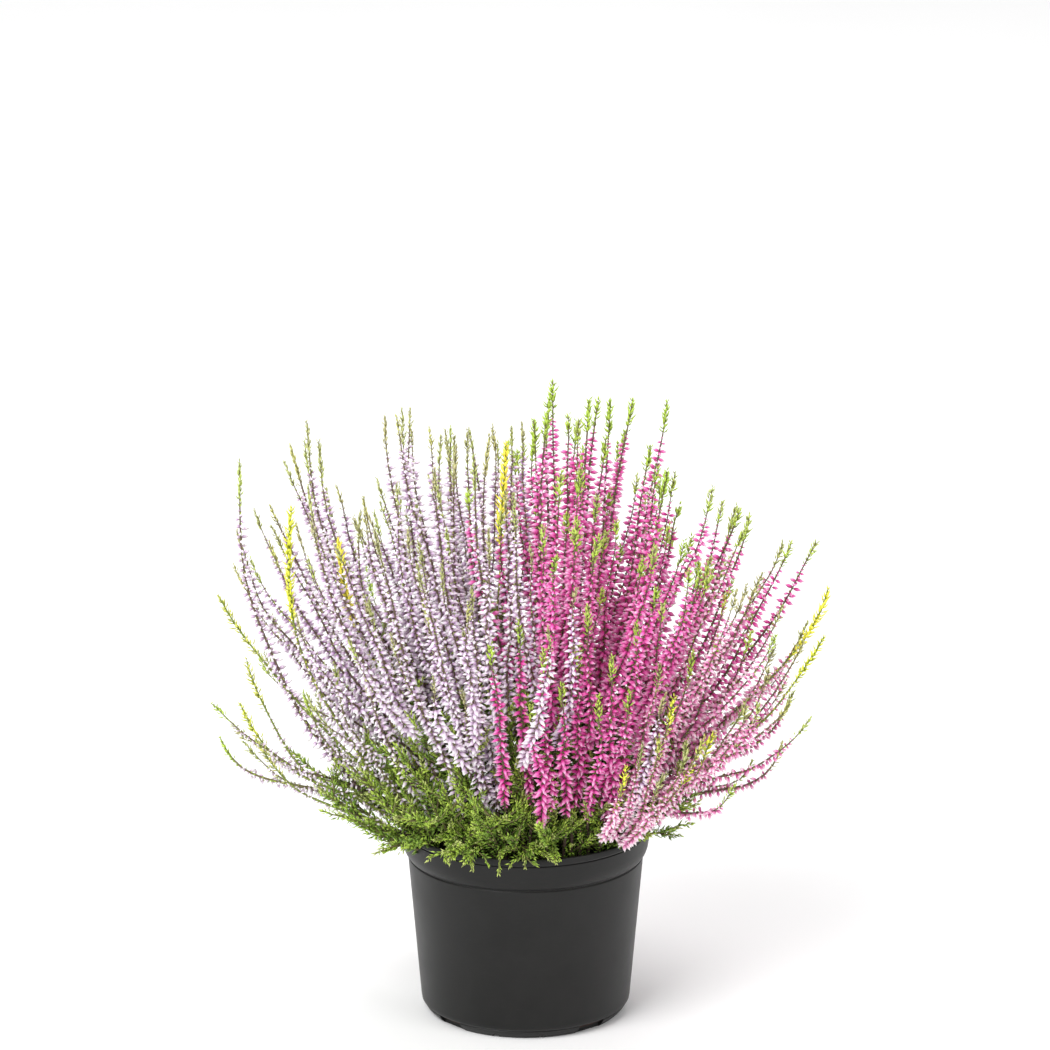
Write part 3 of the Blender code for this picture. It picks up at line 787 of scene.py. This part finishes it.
def grow_marked(plant, extra):
    """The marked shoots, each rooted in the peat below its lowest mark."""
    rng = random.Random(EXTRA_SEED + 3)
    for colour, look, rows in MARKED:
        for marks in rows:
            points = [seen_at(x, y, depth / 1000) for x, y, depth in marks]
            foot_x = float(np.clip(points[-1][0] * 0.9, -0.046, 0.046))
            foot_y = max(points[-1][1] * 0.8, -math.sqrt(0.053**2 - foot_x**2))
            foot = np.array([foot_x, foot_y, PEAT_TOP - FOOT_DEPTH])
            if look == "leafy":
                stem = Shoot(threaded([foot, *points[::-1]]), 0.004, 1.0, FINE_STEM, "leafy", True)
                near = sprays_of(plant, "leafy")
                ends = [float(np.linalg.norm(plant[name][0].path[-1] - points[0])) for name in near]
                extra.setdefault(near[ends.index(min(ends))], []).extend([stem, *side_twigs(stem, 12, rng)])
                continue
            spike = Shoot(threaded([foot, *points[::-1][-3:]]), 0.004, 0.0, FINE_STEM, colour, False, look)
            spike.flower_from = spike.length * (0.22 if look != "hot" else 0.26)
            extra.setdefault(host_for(plant, colour, unit(points[0] - CROWN)), []).append(spike)


# Top of the plant in the photograph, as pixels: no spike may stand out over it
SKYLINE = [
    (0, 640), (216, 590), (235, 465), (262, 508), (303, 416), (318, 438), (334, 528), (372, 510), (388, 412),
    (410, 410), (441, 430), (499, 430), (537, 412), (557, 382),
    (580, 395), (612, 402), (663, 398), (700, 470), (727, 498), (792, 543), (828, 590), (1050, 660),
]


def settle(shoot):
    """Ends a flowering shoot at the plant's skyline, and gives low lilac shoots their paler buds."""
    if shoot.colour == "leafy" or shoot.look:
        return
    share = 1.0
    while share > SHORTEST_SHARE and over_skyline(shoot.point(shoot.length * share)):
        share -= 0.01
    if share < 1:
        knots = np.linspace(0, shoot.length * share, SAMPLES)
        path = np.stack([np.interp(knots, shoot.along, shoot.path[:, k]) for k in range(3)], axis=1)
        shoot.path, shoot.along, shoot.length = path, knots, float(knots[-1])
    if shoot.colour == "lilac" and shoot.path[-1][2] < 0.205 and shoot.path[-1][0] < -0.07:
        shoot.look = "pale"
        shoot.flower_from = max(shoot.flower_from, shoot.length * 0.34)


# Dressing: what stands on each point of a shoot, as attributes that the node tree reads

LOOKS = {
    # share of length that is green tip, tip green, leaf lean and leaf length at the tip, bud length, pale share, bark
    "lilac": ((0.05, 0.11), (0.60, 0.74), 0.52, 0.0038, (0.0048, 0.0056), (0.0, 0.5), 0.42),
    "pale": ((0.09, 0.16), (0.50, 0.68), 0.66, 0.0038, (0.0037, 0.0045), (0.6, 1.0), 0.66),
    "pink": ((0.055, 0.095), (0.46, 0.62), 0.74, 0.0050, (0.0050, 0.0058), (0.0, 0.42), 0.32),
    "hot": ((0.06, 0.10), (0.48, 0.58), 0.74, 0.0050, (0.0048, 0.0055), (0.0, 0.16), 0.30),
    "rose": ((0.06, 0.11), (0.50, 0.80), 0.70, 0.0044, (0.0043, 0.0050), (0.0, 0.5), 0.46),
    "blush": ((0.08, 0.14), (0.62, 0.86), 0.74, 0.0044, (0.0040, 0.0048), (0.6, 1.0), 0.66),
    "golden": ((0.20, 0.30), (0.88, 1.0), 0.74, 0.0050, (0.0036, 0.0042), (0.7, 1.0), 0.85),
    "sprig": ((0.16, 0.24), (0.60, 0.86), 0.86, 0.0042, (0.0030, 0.0036), (0.8, 1.0), 0.95),
}


def spread(values, low, high):
    """0 below low, 1 above high and a smooth rise between."""
    t = np.clip((values - low) / max(high - low, 1e-6), 0, 1)
    return t * t * (3 - 2 * t)


def dress(shoot, rng):
    """Attributes at each sample of a shoot."""
    along, length = shoot.along, shoot.length
    share = along / length
    if shoot.colour == "leafy":
        base_green = rng.uniform(0.16, 0.46)
        if math.hypot(*shoot.path[-1][:2]) > 0.066:
            base_green += 0.08
        return {
            "thick": shoot.stem * (1 - 0.7 * share),
            "flower": np.zeros(SAMPLES),
            "leaf": (0.0044 - 0.0014 * share) * rng.uniform(0.85, 1.15),
            "leaf_share": np.full(SAMPLES, 0.66),
            "leaf_lean": 0.95 - 0.35 * share,
            "green": np.clip(base_green - 0.08 + 0.30 * share**2, 0, 0.62),
            "bark": np.full(SAMPLES, 0.55) + 0.3 * share,
            "hue": np.zeros(SAMPLES),
            "bud_lean": np.full(SAMPLES, 1.3),
            "hang": np.zeros(SAMPLES),
        }
    look = shoot.look or shoot.colour
    tips, tip_greens, tip_lean, tip_leaf, bud_lengths, pales, bark = LOOKS[look]
    between = 0.3 if look in ("pink", "hot") else 0.9
    tip = max(0.012, length * rng.uniform(*tips))
    tip_from = length - tip
    tip_green = rng.uniform(*tip_greens)
    bud = rng.uniform(*bud_lengths)
    flowering = spread(along, shoot.flower_from - 0.006, shoot.flower_from + 0.010)
    fading = 1 - spread(along, tip_from - 0.010, tip_from + 0.004)
    in_tip = spread(along, tip_from - 0.004, tip_from + 0.006)
    through = np.clip((along - shoot.flower_from) / max(tip_from - shoot.flower_from, 0.01), 0, 1)
    lean = 1 - abs(float(shoot.at(length * 0.7)[1][2]))
    leaf = 0.0036 * (1 - in_tip) + in_tip * tip_leaf
    leaf = leaf * (1 - 0.38 * flowering * (1 - in_tip)) * (1 - 0.45 * in_tip * spread(along, length - 0.008, length))
    return {
        "thick": shoot.stem * (1 - 0.72 * share),
        "flower": bud * flowering * fading * (1.08 - 0.28 * through),
        "leaf": leaf,
        "leaf_share": 0.55 - 0.17 * flowering + 0.6 * in_tip,
        "leaf_lean": 0.95 * (1 - in_tip) + tip_lean * in_tip,
        "green": np.clip(0.22 + (tip_green - 0.22) * (between * flowering * (1 - in_tip) + in_tip), 0, 1),
        "bark": np.clip(bark * flowering + 0.12 * (1 - flowering) + 0.3 * in_tip, 0, 1),
        "hue": np.full(SAMPLES, rng.uniform(*pales)) + 0.25 * (1 - spread(along, 0, shoot.flower_from + 0.03)),
        "bud_lean": 1.78 - 0.52 * through,
        "hang": np.full(SAMPLES, 0.10 + 0.35 * lean),
    }


def unit_bud():
    """Closed heather bud, one unit long up the Z axis: narrow calyx, full middle, pointed tip."""
    bm = turned([(0, 0), (0.15, 0.20), (0.21, 0.55), (0, 1)], 4)
    bm.verts.ensure_lookup_table()
    bm.verts[-1].co.x = 0.02
    return finish_unit("unit_bud", bm)


def unit_leaf():
    """Scale leaf, one unit long: flattened, widest below its middle, bent a little inwards."""
    bm = bmesh.new()
    foot, tip = bm.verts.new((0, 0, 0)), bm.verts.new((-0.10, 0, 1))
    ring = [bm.verts.new(p) for p in ((-0.03, 0.18, 0.42), (-0.03, -0.18, 0.42), (0.12, 0, 0.42))]
    close_rings(bm, [[foot], ring, [tip]], 3)
    return finish_unit("unit_leaf", bm)


def finish_unit(name, bm):
    """Writes each vertex's height in its own attribute and makes the object."""
    along = bm.verts.layers.float.new("along")
    for vertex in bm.verts:
        vertex[along] = vertex.co.z
    return mesh_object(name, bm, None, angle=180)


def start_tree(name, kinds):
    """Empty node tree with named inputs. Gives the tree, its inputs by name and its result's socket."""
    tree = bpy.data.node_groups.new(name, "GeometryNodeTree")
    for label, kind in {"Geometry": "Geometry", **kinds}.items():
        tree.interface.new_socket(label, in_out="INPUT", socket_type="NodeSocket" + kind)
    tree.interface.new_socket("Geometry", in_out="OUTPUT", socket_type="NodeSocketGeometry")
    return tree, tree.nodes.new("NodeGroupInput").outputs, tree.nodes.new("NodeGroupOutput").inputs[0]


def shoots_tree():
    """Node tree that turns bare polylines into stems, opposite buds and opposite leaves."""
    floats = dict.fromkeys(("Bud pitch", "Leaf pitch", "Stem pitch"), "Float")
    finishes = dict.fromkeys(("Stem finish", "Bud finish", "Leaf finish"), "Material")
    kinds = {"Bud": "Object", "Leaf": "Object", **finishes, **floats, "Stem sides": "Int", "Seed": "Int"}
    tree, given, result = start_tree("heather_shoots", kinds)
    field = {
        key: add_node(tree, "GeometryNodeInputNamedAttribute", {"Name": key}, data_type="FLOAT")
        for key in ("thick", "flower", "bud_lean", "hang", "leaf", "leaf_lean", "leaf_share")
    }
    paths = add_node(tree, "GeometryNodeMeshToCurve", {"Mesh": given["Geometry"]})
    by_length = {"Curve": paths, "Length": given["Stem pitch"]}
    coarse = add_node(tree, "GeometryNodeResampleCurve", by_length, mode="LENGTH")
    ring = add_node(tree, "GeometryNodeCurvePrimitiveCircle", {"Resolution": given["Stem sides"], "Radius": 1.0})
    tubes = {"Curve": coarse, "Profile Curve": ring, "Scale": field["thick"], "Fill Caps": True}
    stems = {"Geometry": add_node(tree, "GeometryNodeCurveToMesh", tubes), "Material": given["Stem finish"]}
    parts = [add_node(tree, "GeometryNodeSetMaterial", stems)]
    for piece, size, lean, share, hang, first_seed in (
        ("Bud", field["flower"], field["bud_lean"], 1.1, field["hang"], 10.0),
        ("Leaf", field["leaf"], field["leaf_lean"], field["leaf_share"], 0.0, 50.0),
    ):
        seeds = [
            add_node(tree, "ShaderNodeMath", {0: given["Seed"], 1: first_seed + k}, operation="ADD") for k in range(6)
        ]
        turn_by, tilt_by, size_by, luck, tone = (
            add_node(tree, "FunctionNodeRandomValue", {"Min": low, "Max": high, "Seed": seed}, data_type="FLOAT")
            for seed, (low, high) in zip(seeds, ((-0.55, 0.55), (-0.34, 0.30), (0.82, 1.16), (0.0, 1.0), (0.0, 1.0)))
        )

        # A pair of points at each step of the path, each a little off its place
        by_length = {"Curve": paths, "Length": given[piece + " pitch"]}
        points = add_node(tree, "GeometryNodeCurveToPoints", by_length, mode="LENGTH")
        ranks = {"Geometry": points, "Name": "order", "Value": add_node(tree, "GeometryNodeInputIndex")}
        ranked = add_node(tree, "GeometryNodeStoreNamedAttribute", ranks, data_type="INT", domain="POINT")
        pair = add_node(
            tree, "GeometryNodeDuplicateElements", {"Geometry": ranked, "Amount": 2}, domain="POINT"
        )
        slack = (0.0003, 0.0003, 0.0008)
        strays = {"Min": [-most for most in slack], "Max": slack, "Seed": seeds[5]}
        astray = add_node(tree, "FunctionNodeRandomValue", strays, data_type="FLOAT_VECTOR")
        moved = add_node(tree, "GeometryNodeSetPosition", {"Geometry": pair, "Offset": astray})

        # Each pair stands a quarter turn on from the last, leans out, and buds hang
        rank = add_node(tree, "GeometryNodeInputNamedAttribute", {"Name": "order"}, data_type="INT")
        opposite = pair.node.outputs["Duplicate Index"]
        half = add_node(tree, "ShaderNodeMath", {0: opposite, 1: math.pi}, operation="MULTIPLY")
        quarter = {0: rank, 1: math.pi / 2, 2: half}
        even = add_node(tree, "ShaderNodeMath", quarter, operation="MULTIPLY_ADD")
        turn = add_node(tree, "ShaderNodeMath", {0: even, 1: turn_by}, operation="ADD")
        tilt = add_node(tree, "ShaderNodeMath", {0: lean, 1: tilt_by}, operation="ADD")
        facing = points.node.outputs["Rotation"]
        for axis, angle in (((0, 0, 1), turn), ((0, 1, 0), tilt)):
            by = add_node(tree, "FunctionNodeAxisAngleToRotation", {"Axis": axis, "Angle": angle})
            both = {"Rotation": facing, "Rotate By": by}
            facing = add_node(tree, "FunctionNodeRotateRotation", both, rotation_space="LOCAL")
        downwards = {"Rotation": facing, "Factor": hang, "Vector": (0, 0, -1)}
        hung = add_node(tree, "FunctionNodeAlignRotationToVector", downwards, axis="Z")

        scale = add_node(tree, "ShaderNodeMath", {0: size, 1: size_by}, operation="MULTIPLY")
        grown = add_node(
            tree, "FunctionNodeCompare", {"A": size, "B": 0.0009}, data_type="FLOAT", operation="GREATER_THAN"
        )
        lucky = add_node(
            tree, "FunctionNodeCompare", {"A": luck, "B": share}, data_type="FLOAT", operation="LESS_THAN"
        )
        chosen = add_node(tree, "FunctionNodeBooleanMath", {0: grown, 1: lucky}, operation="AND")
        shape = add_node(tree, "GeometryNodeObjectInfo", {"Object": given[piece]}, give="Geometry")
        stands = {"Points": moved, "Selection": chosen, "Instance": shape, "Rotation": hung, "Scale": scale}
        placed = add_node(tree, "GeometryNodeInstanceOnPoints", stands)
        tones = {"Geometry": placed, "Name": "tone", "Value": tone}
        toned = add_node(tree, "GeometryNodeStoreNamedAttribute", tones, data_type="FLOAT", domain="INSTANCE")
        real = add_node(tree, "GeometryNodeRealizeInstances", {"Geometry": toned})
        finish = {"Geometry": real, "Material": given[piece + " finish"]}
        parts.append(add_node(tree, "GeometryNodeSetMaterial", finish))
    joined = tree.nodes.new("GeometryNodeJoinGeometry")
    for part in parts:
        tree.links.new(part, joined.inputs[0])
    tree.links.new(add_node(tree, "GeometryNodeSetShadeSmooth", {"Geometry": joined.outputs[0]}), result)
    return tree


def run_tree(host, tree, inputs):
    """Runs a node tree on an object, keeps its result as a plain mesh and takes the modifier off."""
    modifier = host.modifiers.new("growth", "NODES")
    modifier.node_group = tree
    for item in tree.interface.items_tree:
        if item.item_type == "SOCKET" and item.in_out == "INPUT" and item.name in inputs:
            modifier[item.identifier] = inputs[item.name]
    graph = bpy.context.evaluated_depsgraph_get()
    grown = bpy.data.meshes.new_from_object(host.evaluated_get(graph), depsgraph=graph)
    host.modifiers.clear()
    host.data = grown
    grown.name = host.name
    return host


def wavy(shoot, rng):
    """A shoot's path with the slight bends of real growth, more towards the tip."""
    share = shoot.along / shoot.length
    most = 0.0016 * min(1.0, shoot.length / 0.12)
    bends = np.zeros((SAMPLES, 3))
    for axis in range(3):
        for waves in (1.3, 2.9):
            bends[:, axis] += np.sin(waves * 2 * math.pi * share + rng.uniform(0, 2 * math.pi)) / waves
    return shoot.path + (bends - bends[0]) * most * spread(share, 0.0, 0.6)[:, None]


def host_of(name, shoots, rng):
    """Object of bare polylines, one for each shoot, with its dressing as vertex attributes."""
    dressed = [dress(shoot, rng) for shoot in shoots]
    count = len(shoots)
    mesh = bpy.data.meshes.new(name)
    points = np.concatenate([wavy(shoot, rng) for shoot in shoots])
    edges = [(k * SAMPLES + j, k * SAMPLES + j + 1) for k in range(count) for j in range(SAMPLES - 1)]
    mesh.from_pydata(points.tolist(), edges, [])
    for key in dressed[0]:
        layer = mesh.attributes.new(key, "FLOAT", "POINT")
        layer.data.foreach_set("value", np.concatenate([d[key] for d in dressed]).astype(np.float32))
    return link_object(name, mesh)


# Pot and peat

def ring_at(bm, radius, height, sides):
    """Ring of vertices about the Z axis, or a single one on it."""
    turns = [2 * math.pi * k / sides for k in range(sides if radius else 1)]
    return [bm.verts.new((radius * math.cos(a), radius * math.sin(a), height)) for a in turns]


def close_rings(bm, rings, sides):
    """Faces from each ring to the next."""
    for low, high in zip(rings, rings[1:]):
        for k in range(sides):
            ahead = k + 1
            corners = [low[k % len(low)], high[k % len(high)], high[ahead % len(high)], low[ahead % len(low)]]
            bm.faces.new(dict.fromkeys(corners))


def turned(profile, sides):
    """Closed solid of revolution about Z, from (radius, height) points that start and end on the axis."""
    bm = bmesh.new()
    close_rings(bm, [ring_at(bm, radius, height, sides) for radius, height in profile], sides)
    return bm


def link_object(name, mesh):
    """New object of the scene."""
    made = bpy.data.objects.new(name, mesh)
    scene.collection.objects.link(made)
    return made


def mesh_object(name, bm, finish, angle=35):
    """Makes a bmesh an object with one material, smooth but for its sharp edges."""
    bmesh.ops.recalc_face_normals(bm, faces=bm.faces)
    mesh = bpy.data.meshes.new(name)
    bm.to_mesh(mesh)
    bm.free()
    if finish:
        mesh.materials.append(finish)
    mesh.shade_smooth()
    mesh.set_sharp_from_angle(angle=math.radians(angle))
    return link_object(name, mesh)


def keep_modified(obj, kind, **settings):
    """Adds a modifier and keeps its result as the object's own mesh."""
    modifier = obj.modifiers.new(kind.title(), kind)
    for name, value in settings.items():
        setattr(modifier, name, value)
    graph = bpy.context.evaluated_depsgraph_get()
    result = bpy.data.meshes.new_from_object(obj.evaluated_get(graph), depsgraph=graph)
    obj.modifiers.clear()
    obj.data = result


def inner_radius(height):
    """Radius of the pot's inner wall at a height."""
    heights = [FLOOR, FOOT_HEIGHT, SHOULDER_Z + 0.0006, SHOULDER_Z + 0.0052, POT_HEIGHT]
    outside = [FOOT_RADIUS + 0.0015, BODY_FOOT_RADIUS, SHOULDER_RADIUS - 0.0004, SHOULDER_RADIUS + 0.0022, RIM_RADIUS]
    return float(np.interp(height, heights, outside)) - WALL


def add_box(bm, middle, size, bearing):
    """Box turned about Z to a bearing. Its length runs outwards."""
    outward = Vector((math.cos(bearing), math.sin(bearing), 0))
    across = Vector((-outward.y, outward.x, 0))
    for v in bmesh.ops.create_cube(bm, size=1)["verts"]:
        x, y, z = (v.co[k] * size[k] for k in range(3))
        v.co = Vector(middle) + outward * x + across * y + Vector((0, 0, z))


def make_pot(finish):
    """Thin moulded wall: rounded lip with a seam line under it, flared band, shoulder groove, stepped and cut foot."""
    # Steps of the outside in tenths of a millimetre, from the foot, the body's foot, the shoulder, the band, the lip
    steps = (
        ((FOOT_RADIUS, 0), ((-62, 10), (-50, 0), (-3, 0), (0, 3), (22, 24), (33, 43), (31, 46), (38, 52))),
        ((BODY_FOOT_RADIUS, 0), ((-1, 61), (2, 80))),
        (
            (SHOULDER_RADIUS, SHOULDER_Z),
            ((-2, -22), (-2, -10), (-7, -4), (-7, 0), (4, 7), (15, 24), (24, 48), (29, 78)),
        ),
        ((RIM_RADIUS, BAND_Z), ((-9, -5), (-13, -1), (-13, 3), (-3, 6), (0, 11))),
        ((RIM_RADIUS, POT_HEIGHT), ((0, -12), (-3, -4), (-9, 0), (-15, -2))),
    )
    outer = [(0, 0.0010), *((r + dr * 1e-4, z + dz * 1e-4) for (r, z), offsets in steps for dr, dz in offsets)]
    inner_heights = [POT_HEIGHT - 0.0008, BAND_Z - 0.002, SHOULDER_Z + 0.0052, SHOULDER_Z + 0.0006, FOOT_HEIGHT, FLOOR]
    inner = [(inner_radius(z), z) for z in inner_heights]
    pot = mesh_object("nursery_pot", turned([*outer, *inner, (0, FLOOR)], POT_SIDES), finish, angle=30)
    cutters = bmesh.new()
    for k in range(FEET):
        foot = FOOT_BEARING + k * 2 * math.pi / FEET
        pocket = foot + math.pi / FEET
        wide = 2 * FOOT_RADIUS * math.sin(POCKET_HALF_ANGLE)
        add_box(cutters, polar(BODY_FOOT_RADIUS - 0.0015, pocket, 0.0015), (POCKET_DEPTH, wide, 0.0070), pocket)
        for side in (-1, 1):
            notch = foot + side * NOTCH_ANGLE
            add_box(cutters, polar(FOOT_RADIUS, notch, -0.00025), (0.014, NOTCH_WIDTH, 0.0035), notch)
    cutter = mesh_object("pot_cutter", cutters, None)
    keep_modified(cutter, "BEVEL", width=0.0006, segments=2)
    keep_modified(pot, "BOOLEAN", operation="DIFFERENCE", object=cutter, solver="EXACT")
    bpy.data.objects.remove(cutter)
    pot.data.set_sharp_from_angle(angle=math.radians(30))
    return pot


def unit_crumb():
    """Small uneven lump of peat, about one unit across."""
    bm = bmesh.new()
    bmesh.ops.create_icosphere(bm, subdivisions=1, radius=0.5)
    for v in bm.verts:
        v.co *= 0.75 + 0.5 * noise.noise(v.co * 3.1)
    mesh = bpy.data.meshes.new("unit_crumb")
    bm.to_mesh(mesh)
    bm.free()
    return link_object("unit_crumb", mesh)


def crumbs_tree():
    """Node tree that strews uneven crumbs over the upper faces of a piece."""
    floats = dict.fromkeys(("Density", "Smallest", "Largest"), "Float")
    tree, given, result = start_tree("peat_crumbs", {"Crumb": "Object", "Finish": "Material", **floats, "Seed": "Int"})
    rise = add_node(tree, "ShaderNodeSeparateXYZ", {0: add_node(tree, "GeometryNodeInputNormal")}, give="Z")
    upward = add_node(tree, "FunctionNodeCompare", {"A": rise, "B": 0.6}, data_type="FLOAT", operation="GREATER_THAN")
    strewing = {key: given[key] for key in ("Density", "Seed")}
    strewn = add_node(
        tree,
        "GeometryNodeDistributePointsOnFaces",
        {"Mesh": given["Geometry"], "Selection": upward, **strewing},
        distribute_method="RANDOM",
    )
    turns = {"Min": (0, 0, 0), "Max": (6.28, 6.28, 6.28), "Seed": given["Seed"]}
    turn = add_node(tree, "FunctionNodeRandomValue", turns, data_type="FLOAT_VECTOR")
    sizes = {"Min": given["Smallest"], "Max": given["Largest"], "Seed": given["Seed"]}
    size = add_node(tree, "FunctionNodeRandomValue", sizes, data_type="FLOAT")
    shape = add_node(tree, "GeometryNodeObjectInfo", {"Object": given["Crumb"]}, give="Geometry")
    lies = {"Points": strewn, "Instance": shape, "Rotation": turn, "Scale": size}
    joined = tree.nodes.new("GeometryNodeJoinGeometry")
    for part in (add_node(tree, "GeometryNodeInstanceOnPoints", lies), given["Geometry"]):
        tree.links.new(part, joined.inputs[0])
    real = add_node(tree, "GeometryNodeRealizeInstances", {"Geometry": joined.outputs[0]})
    tree.links.new(add_node(tree, "GeometryNodeSetMaterial", {"Geometry": real, "Material": given["Finish"]}), result)
    return tree


def make_peat(finish):
    """Peat block that fills the pot: an uneven top with loose crumbs on it."""
    bm = bmesh.new()
    rings = []
    top_radius = inner_radius(PEAT_TOP) - PEAT_GAP
    for j in range(PEAT_RINGS + 1):
        ring = ring_at(bm, top_radius * j / PEAT_RINGS, PEAT_TOP - 0.0004, PEAT_SIDES)
        for v in ring:
            x, y, _ = v.co
            v.co.z += 0.0016 * noise.noise(Vector((x, y, 0.3)) * 70) + 0.0007 * noise.noise(Vector((x, y, 5)) * 300)
        rings.append(ring)
    for z in (PEAT_TOP - 0.004, SHOULDER_Z + 0.0052, SHOULDER_Z + 0.0006, 0.05, FOOT_HEIGHT, FLOOR + PEAT_GAP):
        rings.append(ring_at(bm, inner_radius(z) - PEAT_GAP, z, PEAT_SIDES))
    rings.append(ring_at(bm, 0, FLOOR + PEAT_GAP, PEAT_SIDES))
    close_rings(bm, rings, PEAT_SIDES)
    peat = mesh_object("peat_top", bm, finish, angle=60)
    crumb = unit_crumb()
    sizes = {"Density": 90000.0, "Smallest": 0.0008, "Largest": 0.0034, "Seed": 3}
    run_tree(peat, crumbs_tree(), {"Crumb": crumb, "Finish": finish, **sizes})
    bpy.data.objects.remove(crumb)
    return peat


def keep_only(mesh, names):
    """Removes the working attributes that no material reads."""
    for name in [a.name for a in mesh.attributes]:
        layer = mesh.attributes.get(name)
        if layer and name not in names and not layer.is_internal and not layer.is_required:
            mesh.attributes.remove(layer)


def place_on_root(piece, slot, *nodes):
    """A finished piece rides on the root body and stands for its nodes, which it hides."""
    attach(piece, "root")
    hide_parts(*nodes)


def light_studio():
    """Soft key light from the front left, weaker fill and top lights, and a white paper floor."""
    add_light("key", (-1.6, -2.0, 2.3), 2.2, 105)
    add_light("fill", (2.1, -1.7, 1.3), 1.8, 26)
    add_light("top", (0.2, 0.9, 2.6), 1.6, 34)
    world = bpy.data.worlds.new("studio")
    world.use_nodes = True
    world.node_tree.nodes["Background"].inputs["Color"].default_value = linear("#ffffff")
    world.node_tree.nodes["Background"].inputs["Strength"].default_value = 0.5
    scene.world = world
    scene.view_settings.view_transform = "Standard"

    floor_mesh = bmesh.new()
    bmesh.ops.create_grid(floor_mesh, x_segments=8, y_segments=8, size=6)
    mesh_object("studio_floor", floor_mesh, studio_floor("white_paper"))


def bud_finishes():
    """Bud materials by the plant's colour: along a bud from calyx to tip, in its full colour and in its paler one."""
    return {
        "lilac": bud_petals(
            "lilac_heather_bud",
            [(0.0, "#6e5f40"), (0.14, "#9a769a"), (0.36, "#c79fce"), (0.56, "#e6cfe8"), (0.78, "#fefafd")],
            [(0.0, "#7b7350"), (0.14, "#b59cae"), (0.40, "#dccbdc"), (0.64, "#f0e7ef"), (0.86, "#fefdfb")],
        ),
        "pink": bud_petals(
            "pink_heather_bud",
            [(0.0, "#7a2c3a"), (0.14, "#b81c70"), (0.42, "#e0349f"), (0.72, "#ee6cba"), (1.0, "#fbd0e8")],
            [(0.0, "#86504a"), (0.14, "#c44893"), (0.42, "#e575b8"), (0.68, "#f4b4da"), (0.90, "#fef4fa")],
        ),
        "rose": bud_petals(
            "rose_heather_bud",
            [(0.0, "#7a4a3c"), (0.14, "#bd3f86"), (0.42, "#e26bb0"), (0.66, "#f3abd1"), (0.86, "#fdeaf3")],
            [(0.0, "#8c7a50"), (0.14, "#c9659c"), (0.40, "#e592c0"), (0.64, "#f6cfe0"), (0.84, "#fffaf8")],
        ),
    }


def grow_all():
    """The part's own sprays by node name, and the fine growth that stands on each."""
    plant, extra = grow_plant(), {}
    grow_marked(plant, extra)
    grow_extra_spikes(plant, extra)
    grow_extra_twigs(plant, extra)
    grow_uprights(plant, extra)
    for shoots in [*plant.values(), *extra.values()]:
        for shoot in shoots:
            settle(shoot)
    return plant, extra


def make_sprays():
    """One dressed piece for each spray of the part."""
    plant, extra = grow_all()
    tree, finishes = shoots_tree(), bud_finishes()
    bud, scale_leaf = unit_bud(), unit_leaf()
    stem, leaf = woody_stem("heather_bark"), leaf_scales("heather_leaf")
    for number, (name, shoots) in enumerate(plant.items()):
        colour = shoots[0].colour
        rng = random.Random(1000 + number)
        host = host_of(name + "_dressed", [*shoots, *extra.get(name, [])], rng)
        inputs = {
            "Bud": bud,
            "Leaf": scale_leaf,
            "Stem finish": stem,
            "Bud finish": finishes.get(colour, finishes["lilac"]),
            "Leaf finish": leaf,
            "Bud pitch": BUD_STEP,
            "Leaf pitch": LEAF_STEP,
            "Stem pitch": STEM_STEP,
            "Stem sides": STEM_SIDES,
            "Seed": number * 100,
        }
        piece = run_tree(host, tree, inputs)
        keep_only(piece.data, {"along", "tone", "hue", "green", "bark", "position", "material_index"})
        place_on_root(piece, "foliage" if colour == "leafy" else colour + "_buds", name)
    bpy.data.objects.remove(bud)
    bpy.data.objects.remove(scale_leaf)


def main():
    place_camera()
    light_studio()
    make_sprays()
    place_on_root(make_pot(moulded_polypropylene("black_polypropylene")), "pot_plastic", "pot")
    place_on_root(make_peat(moist_peat("moist_peat")), "peat", "peat")


main()
